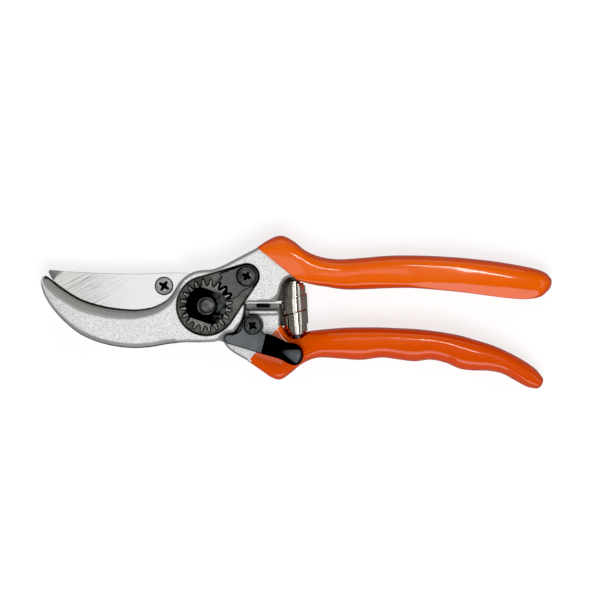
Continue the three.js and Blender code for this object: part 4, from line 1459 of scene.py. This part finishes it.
def latch_sleeve():
    """The dipped sleeve, which swells into a thumb knob at the lever's end."""
    back, front = LATCH_BACK - 1.0, LATCH_PLATE_FRONT + 0.9
    sheath = plate("sleeve_dip", smooth(SLEEVE, 4), back, front)
    round_rim(sheath, front, 1.1, segments=4)
    raise_lever(sheath)
    rise = level("latch_sleeve", HIGH)
    top = front + LEVER_LIFT
    start, stop = Vector((30.2, -18.5)), Vector((40.4, -21.9))
    rings = []
    for share, width, height in KNOB:
        peak = top + (rise - top) * height
        middle = start.lerp(stop, share)
        rings.append([(*polar(width * c, a, middle), z) for c, a, z in knob_ring(peak, top)])
    knob = loft("knob", rings)
    piece = cast(gather(sheath, knob), 0.3, 14)
    hand_over(piece, BLACK_DIP, LATCH, "black_vinyl", "latch_sleeve", shade=60)


def knob_ring(peak, base):
    """One upright half-round section across the lever, as (share, direction, height)."""
    ring = []
    for i in range(16):
        angle = math.pi * i / 15
        share, side = abs(math.cos(angle)), 71 if math.cos(angle) > 0 else 251
        ring.append((share, side, base - 1.0 + (peak - base + 1.0) * math.sin(angle)))
    return ring


def washer():
    """A thin spring washer between the latch and its land."""
    back, front = level("latch_spring_washer", LOW), level("latch_spring_washer", HIGH)
    profile = [(3.7, back), (3.8, back + 0.1), (3.8, front - 0.1), (3.7, front)]
    piece = turned("wave_washer", profile, LATCH_SCREW)
    combine(piece, turned("hole", [(2.2, 0), (2.2, 30)], LATCH_SCREW))
    hand_over(piece, SPRING_STEEL, BLADE_SIDE, "spring_steel", "latch_spring_washer")


# ------------------------------------------------------------------ spring, pegs and buffer

SPRING_TURNS = 6.6
SPRING_BOW = 0.7  # the squeezed spring bulges this far towards the pivot


def volute_spring():
    """A strip wound widest at the middle, its coils nesting towards both seats."""
    axis = spring_line()
    height, thickness = 6.0, 0.55
    widest, narrowest = 5.7, 3.4
    half, fast_turns, fast_climb = SPRING_TURNS / 2, 0.95, 6.4
    free = axis.length - height - 0.4
    slow_climb = (free / 2 - fast_climb * fast_turns) / (half - fast_turns)
    steps = 360
    chamfer = 0.14
    rings = []
    for i in range(steps + 1):
        turn = (i / steps - 0.5) * SPRING_TURNS
        size = abs(turn)
        radius = widest + (narrowest - widest) * size / half
        fast = min(size, fast_turns)
        climb = math.copysign(fast_climb * fast + slow_climb * (size - fast), turn)
        low = axis.length / 2 + climb - height / 2
        high, inside = low + height, radius - thickness
        corners = [
            (radius - chamfer, low),
            (radius, low + chamfer),
            (radius, high - chamfer),
            (radius - chamfer, high),
            (inside + chamfer, high),
            (inside, high - chamfer),
            (inside, low + chamfer),
            (inside + chamfer, low),
        ]
        along = (low + height / 2) / axis.length
        bow = axis.side * (4 * SPRING_BOW * along * (1 - along))
        rings.append([tuple(Vector(axis.point(r, 360 * turn, h)) + bow) for r, h in corners])
    piece = loft("volute_spring_strip", rings)
    smooth_shade(piece, 35)
    hand_over(piece, NICKEL, None, "nickel_plate", "volute_spring", shade=0)
    shift = Vector((PIVOT.x, PIVOT.y, 0))
    axis.foot * MM + shift
    axis.head * MM + shift
    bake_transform(piece)


def pegs():
    axis = spring_line()
    profile = [(1.9, -4.7), (2.1, -4.4), (2.1, 3.1), (1.8, 3.6), (1.1, 3.8)]
    for name, node, body, sign, seat in (
        ("lower_peg", "lower_spring_peg", BLADE_SIDE, 1, 0.0),
        ("upper_peg", "upper_spring_peg", HOOK_SIDE, -1, axis.length),
    ):
        piece = axis.turned(name, [(r, seat + sign * h) for r, h in profile])
        hand_over(piece, ZINC, body, "zinc_steel", node)


def buffer_shape(grow):
    middle = spot("stop_buffer") - Vector((0, 0.1))
    return teardrop(middle - Vector((2.1, 0)), 0.85, middle + Vector((2.1, 0)), 0.84, grow, 16)


def stop_buffer():
    back, front = level("stop_buffer", LOW), level("stop_buffer", HIGH)
    piece = plate("rubber_buffer", buffer_shape(0), back, front)
    round_rim(piece, front, 0.3, segments=3)
    hand_over(piece, RUBBER, BLADE_SIDE, "black_rubber", "stop_buffer")


# ------------------------------------------------------------------ assembly

upper_handle()
lower_handle()
grips()
blade()
countersunk_screw()
blade_nut()
pivot_bolt()
pivot_nut()
toothed_disc()
lock_segment()
bush()
latch_plate()
latch_sleeve()
washer()
pan_screw("segment_screw_black", "segment_screw", HOOK_SIDE, 62, 4.4)
pan_screw("latch_screw_black", "latch_screw", BLADE_SIDE, 50, 3.9)
volute_spring()
pegs()
stop_buffer()

# ------------------------------------------------------------------ table, light and camera

VIEW_WIDTH = 0.2490  # what the camera sees across, at the height of the hook's face
VIEW_MIDDLE = Vector((37.79, 4.14, 0))  # in millimetres from the pivot
CAMERA_HEIGHT = 1.5  # above the hook's face
SENSOR = 36
SOFTBOXES = [
    # name, place, size, brightness of its face, whether glossy surfaces mirror it
    ("key", (0.1, -0.75, 1.5), (0.9, 0.9), 8.4, False),
    ("back_fill", (0.0, 1.4, 1.0), (0.9, 0.9), 3.2, False),
    ("left_fill", (-1.5, 0.0, 1.1), (0.9, 0.9), 1.2, False),
    ("right_fill", (1.5, 0.0, 1.1), (0.9, 0.9), 1.2, False),
    ("blade_panel", (-0.19, 0.0, 1.7), (0.24, 0.6), 1.15, True),
    ("crest_strip", (0.28, 0.15, 1.7), (0.66, 0.06), 21.0, True),
    ("right_panel", (1.3, 0.0, 1.2), (1.0, 0.5), 0.8, True),
    ("front_wall", (0.05, -1.7, 0.5), (0.9, 0.6), 2.1, True),
    ("back_wall", (0.1, 1.7, 0.4), (1.4, 0.3), 1.3, True),
]


def table():
    bpy.ops.mesh.primitive_plane_add(size=8)
    floor = added("table")
    paper = Finish(
        "white table", (0.285, 0.3, 0.3), 0.9, Emission_Color=(1, 1, 1, 1), Emission_Strength=0.74
    )
    floor.data.materials.append(paper.material)
    floor.visible_glossy = False


def softbox(name, place, size, radiance, mirrored):
    """A softbox that faces the shears, with the given brightness of its face."""
    bpy.ops.object.light_add(type="AREA", location=place)
    light = bpy.context.object
    light.name = name
    light.data.shape = "RECTANGLE"
    light.data.size, light.data.size_y = size
    light.data.energy = radiance * math.pi * size[0] * size[1]
    light.visible_glossy = mirrored
    light.visible_diffuse = not mirrored
    light.rotation_euler = Vector(place).to_track_quat("Z", "Y").to_euler()


def camera():
    middle = PIVOT + VIEW_MIDDLE * MM
    height = CAMERA_HEIGHT + HOOK_FRONT * MM
    bpy.ops.object.camera_add(location=(middle.x, middle.y, height), rotation=(0, 0, 0))
    bpy.context.scene.camera = bpy.context.object
    bpy.context.object.data.lens = SENSOR * CAMERA_HEIGHT / VIEW_WIDTH


table()
for box in SOFTBOXES:
    softbox(*box)
camera()
world = bpy.data.worlds.new("studio")
bpy.context.scene.world = world
world.use_nodes = True
world.node_tree.nodes["Background"].inputs["Color"].default_value = (0.16, 0.16, 0.16, 1)
grade = bpy.context.scene.view_settings
grade.view_transform = "Standard"
grade.use_curve_mapping = True
grade.curve_mapping.black_level = (0.012, 0.012, 0.012)
